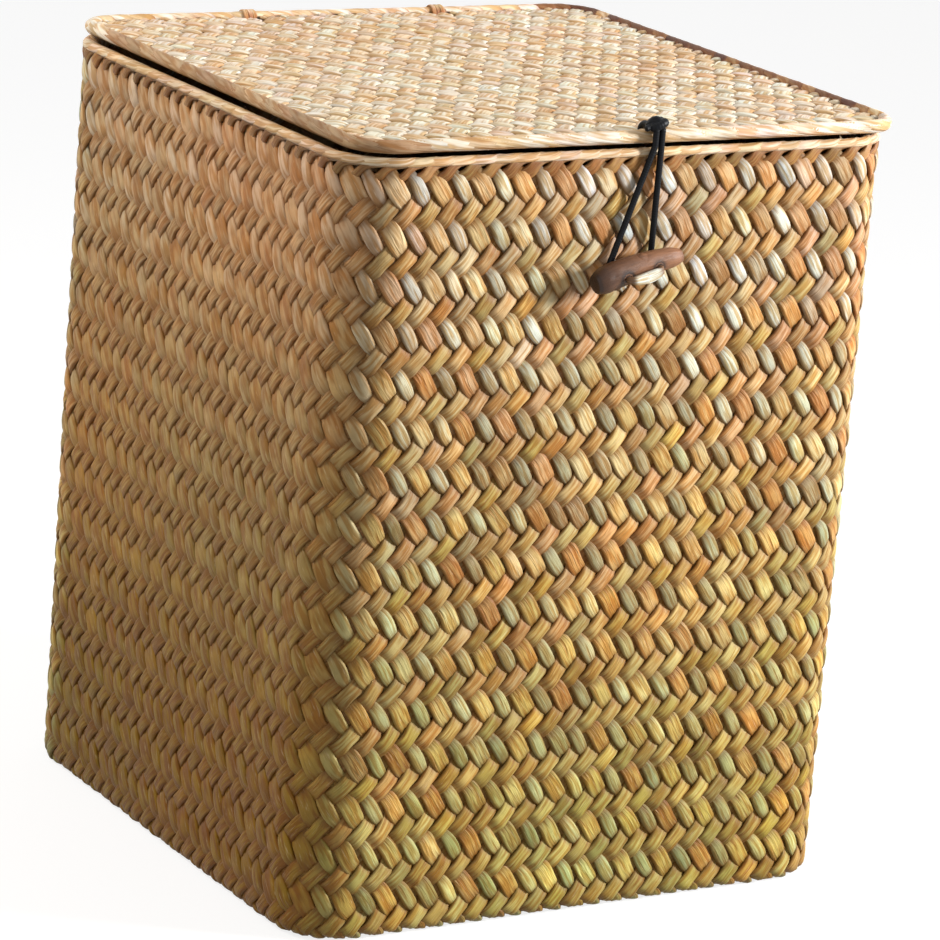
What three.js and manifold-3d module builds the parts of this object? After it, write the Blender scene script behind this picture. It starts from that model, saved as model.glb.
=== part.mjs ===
// A woven seagrass box with a hinged flat lid, held shut by a cord loop over a twig toggle.
// Lengths are in millimetres. X runs to the right along the front, the front faces -Y, Z is up.
import * as THREE from "three";
import { mergeVertices } from "three/addons/utils/BufferGeometryUtils.js";
import Module from "manifold-3d";

const wasm = await Module();
wasm.setup();

// Woven body
const boxWidth = 300;
const boxDepth = 300;
const rimHeight = 375;
const boxCornerRadius = 32;
const baseEdgeRadius = 5;
const wallThickness = 4.4;
const floorThickness = 4.4;

// Fold at the rim, which covers the top of the wall and the wire inside it
const foldHeight = 5;
const foldProud = 0.4;
const foldInset = 8.6;
const foldRounding = 2.4;

// Wire frame inside the box
const wireDiameter = 2.2;
const wireWallGap = 0.4;
const wireSideGap = 0.2;
const wireTopGap = 0.3;

// Lid
const lidWidth = 299;
const lidCornerRadius = 22;
const lidShift = 3;
const lidRollRadius = 3.6;
const lidRestGap = 0.4;
const lidThickness = 4;
const lidWireGap = 0.1;
const panelWireGap = 0.3;

// Ties that hinge the lid to the rim
const tieWidth = 7;
const tieThickness = 1.5;
const tieSpacing = 110;
const tieShift = 6;
const tieRollGap = 0.3;
const tieFoldGap = 0.5;
const tieSideGap = 0.6;
const tieNotchGap = 0.4;
const tieWindowGap = 2;

// Closure: toggle, stitch, loop and knot
const toggleX = -3;
const toggleDrop = 54;
const toggleTilt = THREE.MathUtils.degToRad(14.5);
const toggleLength = 47;
const toggleLeftRadius = 6.6;
const toggleRightRadius = 4.8;
const toggleEndShare = 0.15;
const toggleEndRadiusShare = 0.64;
const toggleBow = 1.6;
const toggleBoreDiameter = 4.8;
const toggleBoreDrop = 1.4;
const stitchSpacing = 17.5;
const stitchDiameter = 3;
const stitchWidth = 5.8;
const stitchBend = 2.5;
const stitchWallBore = 4;
const cordDiameter = 3;
const cordWallGap = 0.6;
const knotX = 8;
const knotSize = new THREE.Vector3(10.4, 9, 8);
const knotLean = THREE.MathUtils.degToRad(32);
const knotSeatGap = 0.4;
const strandGap = 0.4;
const tailLength = 7;
const stemInset = 13;
const stemBend = 3;
const stopperWidth = 6.4;
const stopperHeight = 2.8;
const touchGap = 0.3;

// How far a cutting tool runs past what it cuts
const overrun = 10;

const cornerSteps = 6;
const edgeSteps = 3;
const roundSteps = 14;
const foldSteps = 4;
const beltSteps = 8;
const knotSides = 12;
const knotRings = 8;
const wireSides = 8;
const cordSides = 8;
const twigSteps = 20;
const stitchSteps = 48;
const loopSteps = 90;
const stemSteps = 14;

const wallTop = rimHeight - foldHeight;
const wireRadius = wireDiameter / 2;
const wireInset = wallThickness + wireWallGap + wireRadius;
const cordRadius = cordDiameter / 2;
const stitchRadius = stitchDiameter / 2;
const lidAxisHeight = rimHeight + lidRestGap + lidRollRadius;
const hingeY = boxDepth / 2 - (foldInset - foldProud) / 2;
const lidDepth = 2 * (hingeY + lidRollRadius);
const loopPlaneY = -(boxDepth / 2 + cordWallGap + foldProud + cordRadius);
const toggleY = loopPlaneY - cordRadius - touchGap - toggleLeftRadius;
const toggleHeight = rimHeight - toggleDrop;

const boxPlan = { width: boxWidth, depth: boxDepth, radius: boxCornerRadius, x: 0 };
const lidPlan = { width: lidWidth, depth: lidDepth, radius: lidCornerRadius, x: lidShift };

const seagrass = { color: 0xb58e58, roughness: 0.75 };
const lidSeagrass = { color: 0xd9b88c, roughness: 0.75 };
const edgeSeagrass = { color: 0xc9a478, roughness: 0.7 };
const iron = { color: 0x3a3836, roughness: 0.5, metalness: 0.9 };
const bark = { color: 0x6f472f, roughness: 0.55 };
const paleStrand = { color: 0xd8cfb4, roughness: 0.6 };
const blackCord = { color: 0x16171b, roughness: 0.7 };

const part = new THREE.Group();
part.name = "woven_lidded_box";

function add(name, geometry, look) {
  const mesh = new THREE.Mesh(geometry, new THREE.MeshStandardMaterial(look));
  mesh.name = name;
  part.add(mesh);
  return mesh;
}

// Points all round a plan, at a distance inside its outer edge.
function ringAt(plan, inset, height) {
  const radius = plan.radius - inset;
  const centreX = plan.width / 2 - plan.radius;
  const centreY = plan.depth / 2 - plan.radius;
  const ring = [];
  for (let quarter = 0; quarter < 4; quarter++) {
    const signX = quarter === 0 || quarter === 3 ? 1 : -1;
    const signY = quarter < 2 ? 1 : -1;
    for (let step = 0; step <= cornerSteps; step++) {
      const angle = ((quarter + step / cornerSteps) * Math.PI) / 2;
      const x = plan.x + signX * centreX + radius * Math.cos(angle);
      const y = signY * centreY + radius * Math.sin(angle);
      ring.push(new THREE.Vector3(x, y, height));
    }
  }
  return ring;
}

// A closed surface over rings of equally many points: joined end to end, or with a cap at each end.
function skin(rings, joined) {
  const count = rings[0].length;
  const faces = [];
  const bands = joined ? rings.length : rings.length - 1;
  for (let i = 0; i < bands; i++) {
    const here = i * count;
    const next = ((i + 1) % rings.length) * count;
    for (let k = 0; k < count; k++) {
      const side = (k + 1) % count;
      faces.push(here + k, here + side, next + side);
      faces.push(here + k, next + side, next + k);
    }
  }
  if (!joined) {
    const end = (rings.length - 1) * count;
    for (let k = 1; k < count - 1; k++) {
      faces.push(0, k + 1, k);
      faces.push(end, end + k, end + k + 1);
    }
  }
  const positions = rings.flat().flatMap((point) => [point.x, point.y, point.z]);
  const geometry = new THREE.BufferGeometry();
  geometry.setAttribute("position", new THREE.Float32BufferAttribute(positions, 3));
  geometry.setIndex(faces);
  geometry.computeVertexNormals();
  return geometry;
}

// A section of [inset, height] points carried all round a plan. The section runs up its outer side.
function band(plan, section) {
  const rings = section.map(([inset, height]) => ringAt(plan, inset, height));
  return skin(rings, true);
}

// The same, for a section whose two ends are closed by flat caps.
function vessel(plan, section) {
  const rings = section.map(([inset, height]) => ringAt(plan, inset, height));
  return skin(rings, false);
}

// A round section with flats at the top and bottom, as [inset, height] points.
function wireSection(inset, height) {
  const reach = wireRadius / Math.cos(Math.PI / wireSides);
  const section = [];
  for (let k = 0; k < wireSides; k++) {
    const angle = ((k + 1 / 2) * 2 * Math.PI) / wireSides;
    section.push([inset - reach * Math.cos(angle), height + reach * Math.sin(angle)]);
  }
  return section;
}

// Rings of a round or oval section along a curve, with its half width and half height at each share.
function along(curve, steps, sides, halfSizes, closed) {
  const frames = curve.computeFrenetFrames(steps, closed);
  const rings = [];
  const count = closed ? steps : steps + 1;
  for (let i = 0; i < count; i++) {
    const share = i / steps;
    const centre = curve.getPointAt(share);
    const [wide, high] = halfSizes(share);
    const ring = [];
    for (let k = 0; k < sides; k++) {
      const angle = (k / sides) * 2 * Math.PI;
      const point = centre.clone();
      point.addScaledVector(frames.normals[i], wide * Math.cos(angle));
      point.addScaledVector(frames.binormals[i], high * Math.sin(angle));
      ring.push(point);
    }
    rings.push(ring);
  }
  return skin(rings, closed);
}

function solidOf(geometry) {
  const plain = new THREE.BufferGeometry();
  plain.setAttribute("position", geometry.getAttribute("position"));
  plain.setIndex(geometry.index);
  const merged = mergeVertices(plain);
  const vertProperties = new Float32Array(merged.attributes.position.array);
  const triVerts = new Uint32Array(merged.index.array);
  return new wasm.Manifold(new wasm.Mesh({ numProp: 3, vertProperties, triVerts }));
}

function geometryOf(solid) {
  const mesh = solid.getMesh();
  const geometry = new THREE.BufferGeometry();
  geometry.setAttribute("position", new THREE.BufferAttribute(mesh.vertProperties, 3));
  geometry.setIndex(new THREE.BufferAttribute(mesh.triVerts, 1));
  geometry.computeVertexNormals();
  return geometry;
}

function cut(geometry, tools) {
  let solid = solidOf(geometry);
  for (const tool of tools) {
    solid = solid.subtract(solidOf(tool));
  }
  return geometryOf(solid);
}

function join(geometries) {
  const solids = geometries.map(solidOf);
  const joined = solids.reduce((all, solid) => all.add(solid));
  return geometryOf(joined);
}

// A rod along Y, used for bores through the front wall and the toggle.
function boreAlongY(diameter, length, x, y, z) {
  const rod = new THREE.CylinderGeometry(diameter / 2, diameter / 2, length, roundSteps);
  rod.translate(x, y, z);
  return rod;
}

const tieXs = [-1, 1].map((side) => tieShift + (side * tieSpacing) / 2);
const tieTopRadius = lidRollRadius + tieRollGap;
const tieFoldRadius = (foldInset + foldProud) / 2 + tieFoldGap;
const tieReach = tieFoldRadius + tieThickness;

// The places of the stitch's two shanks on the front, as [x, z]
const shanks = [-1, 1].map((side) => {
  const reach = (side * stitchSpacing) / 2;
  const x = toggleX + reach * Math.cos(toggleTilt) + toggleBoreDrop * Math.sin(toggleTilt);
  const z = toggleHeight + reach * Math.sin(toggleTilt) - toggleBoreDrop * Math.cos(toggleTilt);
  return [x, z];
});

function tieNotch(x) {
  const height = tieReach + tieNotchGap;
  const notch = new THREE.BoxGeometry(tieWidth + 2 * tieSideGap, wallThickness + 2 * overrun, 2 * height);
  notch.translate(x, boxDepth / 2, wallTop);
  return notch;
}

function wovenBody() {
  const section = [];
  for (let step = 0; step <= edgeSteps; step++) {
    const angle = ((step / edgeSteps) * Math.PI) / 2;
    const inset = baseEdgeRadius * (1 - Math.sin(angle));
    const height = baseEdgeRadius * (1 - Math.cos(angle));
    section.push([inset, height]);
  }
  section.push([0, wallTop]);
  section.push([wallThickness, wallTop]);
  section.push([wallThickness, floorThickness]);
  const boreLength = wallThickness + 2 * overrun;
  const bores = shanks.map(([x, z]) => boreAlongY(stitchWallBore, boreLength, x, -boxDepth / 2, z));
  return cut(vessel(boxPlan, section), [...tieXs.map(tieNotch), ...bores]);
}

function rimFold() {
  const section = [[-foldProud, wallTop]];
  for (const [centre, start] of [[foldRounding - foldProud, 0], [foldInset - foldRounding, 1]]) {
    for (let step = 0; step <= foldSteps; step++) {
      const angle = ((start + step / foldSteps) * Math.PI) / 2;
      const inset = centre - foldRounding * Math.cos(angle);
      section.push([inset, rimHeight - foldRounding * (1 - Math.sin(angle))]);
    }
  }
  const grooveOuter = wireInset - wireRadius - wireSideGap;
  const grooveInner = wireInset + wireRadius + wireSideGap;
  const grooveTop = wallTop + wireDiameter + wireTopGap;
  section.push([foldInset, wallTop]);
  section.push([grooveInner, wallTop]);
  section.push([grooveInner, grooveTop]);
  section.push([grooveOuter, grooveTop]);
  section.push([grooveOuter, wallTop]);
  return band(boxPlan, section);
}

function cornerWire(signX, signY) {
  const low = floorThickness + wireDiameter;
  const length = wallTop - low;
  const reach = (boxCornerRadius - wireInset) * Math.SQRT1_2;
  const wire = new THREE.CylinderGeometry(wireRadius, wireRadius, length, wireSides);
  wire.rotateX(Math.PI / 2);
  const x = signX * (boxWidth / 2 - boxCornerRadius + reach);
  const y = signY * (boxDepth / 2 - boxCornerRadius + reach);
  wire.translate(x, y, low + length / 2);
  return wire;
}

function lidPanel() {
  const inset = lidRollRadius + wireRadius + lidWireGap + panelWireGap;
  const low = lidAxisHeight - lidThickness / 2;
  const slab = vessel(lidPlan, [[inset, low], [inset, low + lidThickness]]);
  const windowReach = tieTopRadius + tieThickness + tieWindowGap;
  const windows = tieXs.map((x) => {
    const window = new THREE.BoxGeometry(tieWidth + 2 * tieSideGap, 2 * windowReach, lidThickness + 2 * overrun);
    window.translate(x, hingeY, lidAxisHeight);
    return window;
  });
  const stemHole = new THREE.CylinderGeometry(
    cordRadius + touchGap,
    cordRadius + touchGap,
    lidThickness + 2 * overrun,
    roundSteps,
  );
  stemHole.rotateX(Math.PI / 2);
  stemHole.translate(knotX, stemY, lidAxisHeight);
  return cut(slab, [...windows, stemHole]);
}

function lidRoll() {
  const lipAngle = Math.asin(lidThickness / 2 / lidRollRadius);
  const section = [];
  for (let step = 0; step <= roundSteps; step++) {
    const angle = -lipAngle - (step / roundSteps) * (2 * Math.PI - 2 * lipAngle);
    const inset = lidRollRadius + lidRollRadius * Math.cos(angle);
    section.push([inset, lidAxisHeight + lidRollRadius * Math.sin(angle)]);
  }
  const pocketInner = lidRollRadius + wireRadius + lidWireGap;
  const pocketOuter = lidRollRadius - wireRadius - lidWireGap;
  section.push([pocketInner, lidAxisHeight + lidThickness / 2]);
  section.push([pocketInner, lidAxisHeight + wireRadius]);
  section.push([pocketOuter, lidAxisHeight + wireRadius]);
  section.push([pocketOuter, lidAxisHeight - wireRadius]);
  section.push([pocketInner, lidAxisHeight - wireRadius]);
  section.push([pocketInner, lidAxisHeight - lidThickness / 2]);
  return band(lidPlan, section);
}

// The outline of a belt round two circles, the first at the origin and the second a distance below it.
function beltOutline(path, topRadius, lowRadius, drop) {
  const lean = Math.asin((lowRadius - topRadius) / drop);
  path.absarc(0, 0, topRadius, lean, Math.PI - lean);
  path.absarc(0, -drop, lowRadius, Math.PI - lean, 2 * Math.PI + lean);
  path.closePath();
  return path;
}

function hingeTie(x) {
  const drop = lidAxisHeight - wallTop;
  const outer = beltOutline(new THREE.Shape(), tieTopRadius + tieThickness, tieReach, drop);
  outer.holes.push(beltOutline(new THREE.Path(), tieTopRadius, tieFoldRadius, drop));
  const settings = { depth: tieWidth, bevelEnabled: false, curveSegments: beltSteps };
  const tie = new THREE.ExtrudeGeometry(outer, settings);
  tie.rotateX(Math.PI / 2);
  tie.rotateZ(Math.PI / 2);
  tie.translate(x - tieWidth / 2, hingeY, lidAxisHeight);
  return tie;
}

function toggleRadiusAt(share) {
  const full = THREE.MathUtils.lerp(toggleLeftRadius, toggleRightRadius, share);
  const fromEnd = Math.min(share, 1 - share) / toggleEndShare;
  if (fromEnd >= 1) {
    return full;
  }
  return full * THREE.MathUtils.lerp(toggleEndRadiusShare, 1, Math.sin((fromEnd * Math.PI) / 2));
}

// The toggle lies along X at the origin, then takes its tilt and its place on the front.
function toggle() {
  const half = toggleLength / 2;
  const bend = new THREE.QuadraticBezierCurve3(
    new THREE.Vector3(-half, 0, -toggleBow),
    new THREE.Vector3(0, 0, toggleBow),
    new THREE.Vector3(half, 0, -toggleBow),
  );
  const sizes = (share) => [toggleRadiusAt(share), toggleRadiusAt(share)];
  const twig = along(bend, twigSteps, roundSteps, sizes, false);
  const bores = [-1, 1].map((side) =>
    boreAlongY(toggleBoreDiameter, 2 * (toggleLeftRadius + overrun), (side * stitchSpacing) / 2, 0, -toggleBoreDrop),
  );
  const geometry = cut(twig, bores);
  geometry.rotateY(-toggleTilt);
  geometry.translate(toggleX, toggleY, toggleHeight);
  return geometry;
}

// One strand: through a hole in the wall and the toggle, over its front, and back through the other.
function toggleStitch() {
  const half = stitchSpacing / 2;
  const front = -(toggleLeftRadius + touchGap + stitchRadius);
  const inside = -boxDepth / 2 + wallThickness + touchGap + stitchRadius - toggleY;
  const outline = new THREE.Path();
  outline.moveTo(0, front);
  outline.lineTo(half - stitchBend, front);
  outline.absarc(half - stitchBend, front + stitchBend, stitchBend, -Math.PI / 2, 0);
  outline.lineTo(half, inside - stitchBend);
  outline.absarc(half - stitchBend, inside - stitchBend, stitchBend, 0, Math.PI / 2);
  outline.lineTo(-half + stitchBend, inside);
  outline.absarc(-half + stitchBend, inside - stitchBend, stitchBend, Math.PI / 2, Math.PI);
  outline.lineTo(-half, front + stitchBend);
  outline.absarc(-half + stitchBend, front + stitchBend, stitchBend, Math.PI, (3 * Math.PI) / 2);
  outline.lineTo(0, front);
  const places = outline.getSpacedPoints(stitchSteps).slice(0, stitchSteps);
  const rings = places.map((place, i) => {
    const before = places[(i + stitchSteps - 1) % stitchSteps];
    const after = places[(i + 1) % stitchSteps];
    const out = new THREE.Vector2(after.y - before.y, before.x - after.x).normalize();
    const onFront = place.y < front + stitchBend;
    const swell = onFront ? Math.cos((place.x / half) * (Math.PI / 2)) : 0;
    const wide = THREE.MathUtils.lerp(stitchRadius, stitchWidth / 2, Math.max(swell, 0));
    const ring = [];
    for (let k = 0; k < cordSides; k++) {
      const angle = (k / cordSides) * 2 * Math.PI;
      const x = place.x + out.x * stitchRadius * Math.cos(angle);
      const y = place.y + out.y * stitchRadius * Math.cos(angle);
      ring.push(new THREE.Vector3(x, y, -wide * Math.sin(angle)));
    }
    return ring;
  });
  const geometry = skin(rings, true);
  geometry.translate(0, 0, -toggleBoreDrop);
  geometry.rotateY(-toggleTilt);
  geometry.translate(toggleX, toggleY, toggleHeight);
  return geometry;
}

// The knot sits on the upper front of the lid's roll, leaning out over it.
const rollY = -lidDepth / 2 + lidRollRadius;
const knotReach = lidRollRadius + knotSize.z / 2 + knotSeatGap;
const knotY = rollY - knotReach * Math.sin(knotLean);
const knotZ = lidAxisHeight + knotReach * Math.cos(knotLean);
const stemY = -lidDepth / 2 + stemInset;

function ovalKnot(gap) {
  const ball = new THREE.SphereGeometry(1, knotSides, knotRings);
  ball.scale(knotSize.x / 2 + gap, knotSize.y / 2 + gap, knotSize.z / 2 + gap);
  ball.translate(knotX, knotY, knotZ);
  return ball;
}

// The loop's two strands leave the knot, hang down the front, and pass behind the toggle.
function closureLoop() {
  const bend = stitchRadius + touchGap + cordRadius;
  const [left, right] = shanks;
  const spread = cordRadius + strandGap / 2;
  const top = knotZ - cordRadius;
  const outline = new THREE.Path();
  outline.moveTo(knotX - spread, top);
  outline.lineTo(left[0] - bend, left[1]);
  outline.absarc(left[0], left[1], bend, Math.PI, (3 * Math.PI) / 2 + toggleTilt);
  outline.absarc(right[0], right[1], bend, -Math.PI / 2 + toggleTilt, 0);
  outline.lineTo(knotX + spread, top);
  const flat = outline.getSpacedPoints(loopSteps);
  const points = flat.map(({ x, y: z }) => new THREE.Vector3(x, loopPlaneY, z));
  const curve = new THREE.CatmullRomCurve3(points);
  const cord = along(curve, loopSteps, cordSides, () => [cordRadius, cordRadius], false);
  return cut(cord, [ovalKnot(touchGap)]);
}

// The knot on the lid's front edge, its short tail, and its stem down through the lid to a stopper.
function loopKnot() {
  const tail = new THREE.LineCurve3(
    new THREE.Vector3(knotX, knotY, knotZ),
    new THREE.Vector3(knotX - tailLength, knotY - cordRadius, knotZ - cordRadius),
  );
  const panelTop = lidAxisHeight + lidThickness / 2;
  const stemLow = lidAxisHeight - lidThickness / 2 - stopperHeight / 2;
  const stem = new THREE.CatmullRomCurve3([
    new THREE.Vector3(knotX, knotY, knotZ),
    new THREE.Vector3(knotX, rollY, lidAxisHeight + lidRollRadius + touchGap + cordRadius),
    new THREE.Vector3(knotX, stemY - stemBend, panelTop + stemBend),
    new THREE.Vector3(knotX, stemY, panelTop),
    new THREE.Vector3(knotX, stemY, stemLow),
  ]);
  const stopper = new THREE.SphereGeometry(1, knotSides, knotRings);
  stopper.scale(stopperWidth / 2, stopperWidth / 2, stopperHeight / 2);
  stopper.translate(knotX, stemY, stemLow - touchGap / 2);
  const round = () => [cordRadius, cordRadius];
  return join([
    ovalKnot(0),
    along(tail, 1, cordSides, round, false),
    along(stem, stemSteps, cordSides, round, false),
    stopper,
  ]);
}

add("woven_body", wovenBody(), seagrass);
add("rim_fold", rimFold(), edgeSeagrass);
add("rim_wire", band(boxPlan, wireSection(wireInset, wallTop + wireRadius)), iron);
add("base_wire", band(boxPlan, wireSection(wireInset, floorThickness + wireRadius)), iron);
add("corner_wire_front_left", cornerWire(-1, -1), iron);
add("corner_wire_front_right", cornerWire(1, -1), iron);
add("corner_wire_back_left", cornerWire(-1, 1), iron);
add("corner_wire_back_right", cornerWire(1, 1), iron);
add("lid_panel", lidPanel(), lidSeagrass);
add("lid_edge_roll", lidRoll(), lidSeagrass);
add("lid_wire", band(lidPlan, wireSection(lidRollRadius, lidAxisHeight)), iron);
add("hinge_tie_left", hingeTie(tieXs[0]), edgeSeagrass);
add("hinge_tie_right", hingeTie(tieXs[1]), edgeSeagrass);
add("toggle", toggle(), bark);
add("toggle_stitch", toggleStitch(), paleStrand);
add("closure_loop", closureLoop(), blackCord);
add("loop_knot", loopKnot(), blackCord);

export default part;
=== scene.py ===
import math

import bpy
import numpy as np
from mathutils import Matrix, Vector


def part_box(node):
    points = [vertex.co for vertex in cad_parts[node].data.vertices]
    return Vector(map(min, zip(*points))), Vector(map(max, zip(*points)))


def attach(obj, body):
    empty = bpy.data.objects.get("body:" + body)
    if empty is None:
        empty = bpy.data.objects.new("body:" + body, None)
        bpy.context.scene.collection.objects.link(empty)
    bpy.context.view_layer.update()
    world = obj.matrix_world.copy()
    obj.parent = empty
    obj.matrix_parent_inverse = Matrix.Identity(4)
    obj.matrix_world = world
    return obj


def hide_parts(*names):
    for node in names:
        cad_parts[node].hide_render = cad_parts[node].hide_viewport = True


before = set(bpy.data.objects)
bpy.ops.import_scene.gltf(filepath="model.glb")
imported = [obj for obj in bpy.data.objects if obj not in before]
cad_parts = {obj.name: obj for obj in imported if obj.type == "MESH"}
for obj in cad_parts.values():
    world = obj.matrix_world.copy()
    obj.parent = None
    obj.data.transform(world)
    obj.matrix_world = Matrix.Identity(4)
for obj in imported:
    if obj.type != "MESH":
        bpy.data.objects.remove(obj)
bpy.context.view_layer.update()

# Lengths below are in millimetres, and `mm` turns them into Blender's metres.
mm = 0.001


def corners_of(node):
    """A CAD node's lowest and highest corner, in millimetres."""
    low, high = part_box(node)
    return np.array(low) / mm, np.array(high) / mm


def middle_of(node):
    low, high = corners_of(node)
    return (low + high) / 2


body_low, body_high = corners_of("woven_body")
roll_low, roll_high = corners_of("lid_edge_roll")
panel_low, panel_high = corners_of("lid_panel")

# Camera, from a fit to the box's outline and to single stitches in the photograph
camera_place = (-1148.2, -1885.9, 799.7)
camera_azimuth = math.radians(-31.661)
camera_elevation = math.radians(15.687)
camera_roll = math.radians(4.608)
camera_lens = 176.76
camera_sensor = 36.0
camera_reach = 20

# Light and floor, in metres: each lamp's name, place, size, power and tint
lamps = (
    ("key", (1.2, -0.92, 0.78), 0.35, 38.0, (1, 1, 1)),
    ("top", (0.25, -0.1, 1.75), 0.9, 3.0, (1, 1, 1)),
    ("fill", (-0.8, 0.45, 0.95), 0.4, 7.0, (1.0, 0.93, 0.84)),
    ("corner", (-1.2, -1.2, 0.9), 0.6, 3.8, (1.0, 0.95, 0.88)),
)
lamp_target = (0, 0, 0.2)
world_light = 0.25
floor_reach = 8.0
floor_tone = 0.25
floor_glow = 0.80

# Box shape
corner_radius = 32.0
base_edge_radius = 5.0
wall_thickness = 4.4
wall_top = body_high[2]
wall_over_top = 6.0
rim_top = corners_of("rim_fold")[1][2]
box_width = body_high[0] - body_low[0]
box_depth = body_high[1] - body_low[1]

# Lid shape
lid_corner_radius = 22.0
lid_roll_radius = (roll_high[2] - roll_low[2]) / 2
lid_width = roll_high[0] - roll_low[0]
lid_depth = roll_high[1] - roll_low[1]
lid_centre_x = (roll_high[0] + roll_low[0]) / 2
lid_axis_height = (roll_high[2] + roll_low[2]) / 2

# Weave of the walls: a twill, over two and under two, with strands on the bias
strands_each_way = 104
wall_row_height = 5.675
first_row_height = 360.0
strand_lift = 1.25
second_over_share = 0.85
row_wave = 0.16
first_lean = 0.30
second_lean = -0.30
crossings_per_wave = 4
over_sharpness = 2.3
strand_thickness = 1.40
dived_thinning_share = 0.28
steps_per_crossing = 5
strand_wobble = 0.65
strand_rise = 0.14
strand_twist_share = 0.07
width_jitter_share = 0.04
pinch_power = 0.6
dive_power = 0.7
noise_rings = 8
first_spread = 0.30
second_spread = 0.08
even_flattening_share = 0.5
even_softening_share = 0.5
calm_flattening_share = 0.5
wall_flatness = 1.0
section_sides = 16
section_squareness = 0.52
section_unevenness = 0.12
section_noise_rings = 9
valley_shares = (0.4, 1.3)
end_rings = 2
end_share = 0.15
tone_mix_share = 0.10
tone_mix_spread = 0.20
tone_mix_most = 0.6
base_tuck = 9.0
wall_groups = 8
mat_groups = 2

# Kinds of strand: half width at the pitch named here, then pinch, depth of folds and thickness as shares
width_pitch = 10.6
narrow_strand = (3.3, 0.28, 0.03, 1.12)
wide_strand = (4.3, 0.08, 0.42, 0.95)
other_strand = (4.3, 0.02, 0.16, 0.95)
narrow_creases = 0.15
wide_creases = (0.4, 1.0)

# Where the walls' tones and waves change: levels, and distances down from the top or round the walls
first_top_level = -1.0
second_top_level = -0.35
last_level_gap = 0.3
# Levels near the walls' top over which the strands, under the rim, get painted shade
shaded_top_levels = (-0.7, 0.0)
tone_change_start = 20
tone_change_length = 300
sage_top_ends = (60, 130)
calm_length = 14
left_fade = 6
left_corner_fade = (45, 8)
patch_lengths = (57, 48)
patch_phases = (2.2, 0.6)

# Texture along a strand, and the margin between two strands' strips in the map
texture_stretch = 1.4
texture_span = 900
strip_margin = 0.04

# Closure: a twig toggle, its stitch, and a cord loop with a knot
toggle_x = -3.0
toggle_drop = 54.0
toggle_height = rim_top - toggle_drop
toggle_tilt = math.radians(14.5)
toggle_length = 47.0
toggle_left_radius = 6.6
toggle_right_radius = 4.8
toggle_end_share = 0.15
toggle_end_radius_share = 0.64
toggle_bow = 1.6
toggle_rings = 150
toggle_sides = 48
twig_waves = ((2, 0.018), (3, 0.016), (5, 0.012), (9, 0.008))
twig_drift_rings = 38
twig_roughness_share = 0.022
twig_roughness_rings = 16
twig_buds = ((0.22, 4.1), (0.55, 1.9), (0.80, 5.2))
bud_length_share = 0.035
bud_half_turn = 0.35
bud_rise_share = 0.07
bud_dip_share = 0.03
bud_dip_place = 2.2
tip_shares = (0.25, 0.6, 0.88)
tip_reach = 0.8
dark_left_share = 0.62
dark_left_power = 1.6
# Painted shade round the bores reaches this far
hole_shade_reach = 1.6
dark_end_reach = 1.4
# Strengths of the darkening towards the left end, of the painted shade round the holes, and at the ends
dark_strengths = (0.78, 0.8, 0.35)
darkest_bark = 0.95
toggle_bore_radius = 2.4
toggle_bore_drop = 1.4
bore_reach = 12.0
bore_rings = 9
bore_sides = 32
stitch_spacing = 17.5
stitch_radius = 1.5
stitch_width = 5.8
stitch_bend = 2.5
stitch_sag = 1.2
stitch_swell_power = 0.8
# Painted shade on the stitch towards the bores: its reach, and the share of it that is fully dark
stitch_shade_end = 3.6
stitch_shade_share = 0.3
stitch_lean_share = 0.18
stitch_width_share = 0.98
stitch_thickness_share = 0.97
stitch_fold_depth = 0.10
stitch_creases = 0.5
cord_radius = 1.5
touch_gap = 0.3
knot_place = np.array([8.0, -150.14, 385.78])
knot_size = np.array([10.4, 9.0, 8.0])
strand_gap = 0.4
loop_joined = 8.0
tail_length = 7.0
stem_inset = 13.0
stopper_width = 6.4
stopper_height = 2.8
cord_sides = 16
cord_step = 0.8
bend_rings = 20
tail_rings = 20
tail_end_share = 0.8
stem_rings = 60
stem_rise = 3
knot_rings = 160
core_rings = 16
core_sides = 20
core_opening = 0.15
knot_cord_radius = 2.2
knot_lean = 0.5
knot_core_share = 0.72
stopper_cord_radius = 0.95

# Wires of the frame, and ties that hold the lid
wire_radius = 1.1
wire_wall_gap = 0.4
wire_inset = wall_thickness + wire_wall_gap + wire_radius
ring_wire_rings = 260
corner_wire_rings = 60
tie_strands = 3
tie_roll_gap = 0.6
tie_top_radius = lid_roll_radius + tie_roll_gap
tie_low_radius = 5.5
tie_top_rings = 24
tie_low_rings = 30
tie_thickness = 0.55
tie_width_share = 0.54
tie_wobble = 0.25
tie_step = 0.6
tie_noise_rings = 14
tie_closing_rings = 6
tie_creases = 0.8
tie_brown_ends = (1.5, 4.5)

# Rim: the path of its strands, in insets and drops from the tops of rim and wall, and what the left changes
rim_inner_inset = 7.4
rim_outer_inset = 0.95
rim_inner_tuck = 6
rim_inner_shoulder = 3.0
rim_outer_shoulder = 1.6
rim_roll_foot = 0.5
rim_foot = 8
rim_roundings = (2.4, 1.6, 4, 4)
rim_crown_drop = 1.7
rim_crown_lead = 1.4
rim_rise_share = 0.30
rim_width_jitter = 0.05
rim_tone_shares = (0.18, 0.42)
left_rim_share = 0.62
# Extra painted shade on the left rim, which lies in the lid's shadow
left_rim_shade = 0.35

# Strands of the rim and of the lid's edge
edge_ring_step = 1.6
edge_noise_rings = 7
edge_strand_rise = 0.08
edge_jitter_share = 0.07
edge_fold_depth = 0.08
edge_tone_jitter = 0.06
edge_creases = (0.2, 0.8)
lid_width_jitter = 0.08
lid_tone_shares = (0.02, 0.10)
lid_strand_depth = 1.05
lid_edge_gap = 0.3
lid_edge_rise = 0.15
lid_edge_start = 20
edge_outline_steps = 90
narrow_edge_chance = 0.22
narrow_edge_half_width = 3.2
# Extra painted shade where a narrow edge strand comes off the top
narrow_edge_dive = 0.5
wide_edge_half_width = 4.4
brown_edge_chance = 0.8

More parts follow.
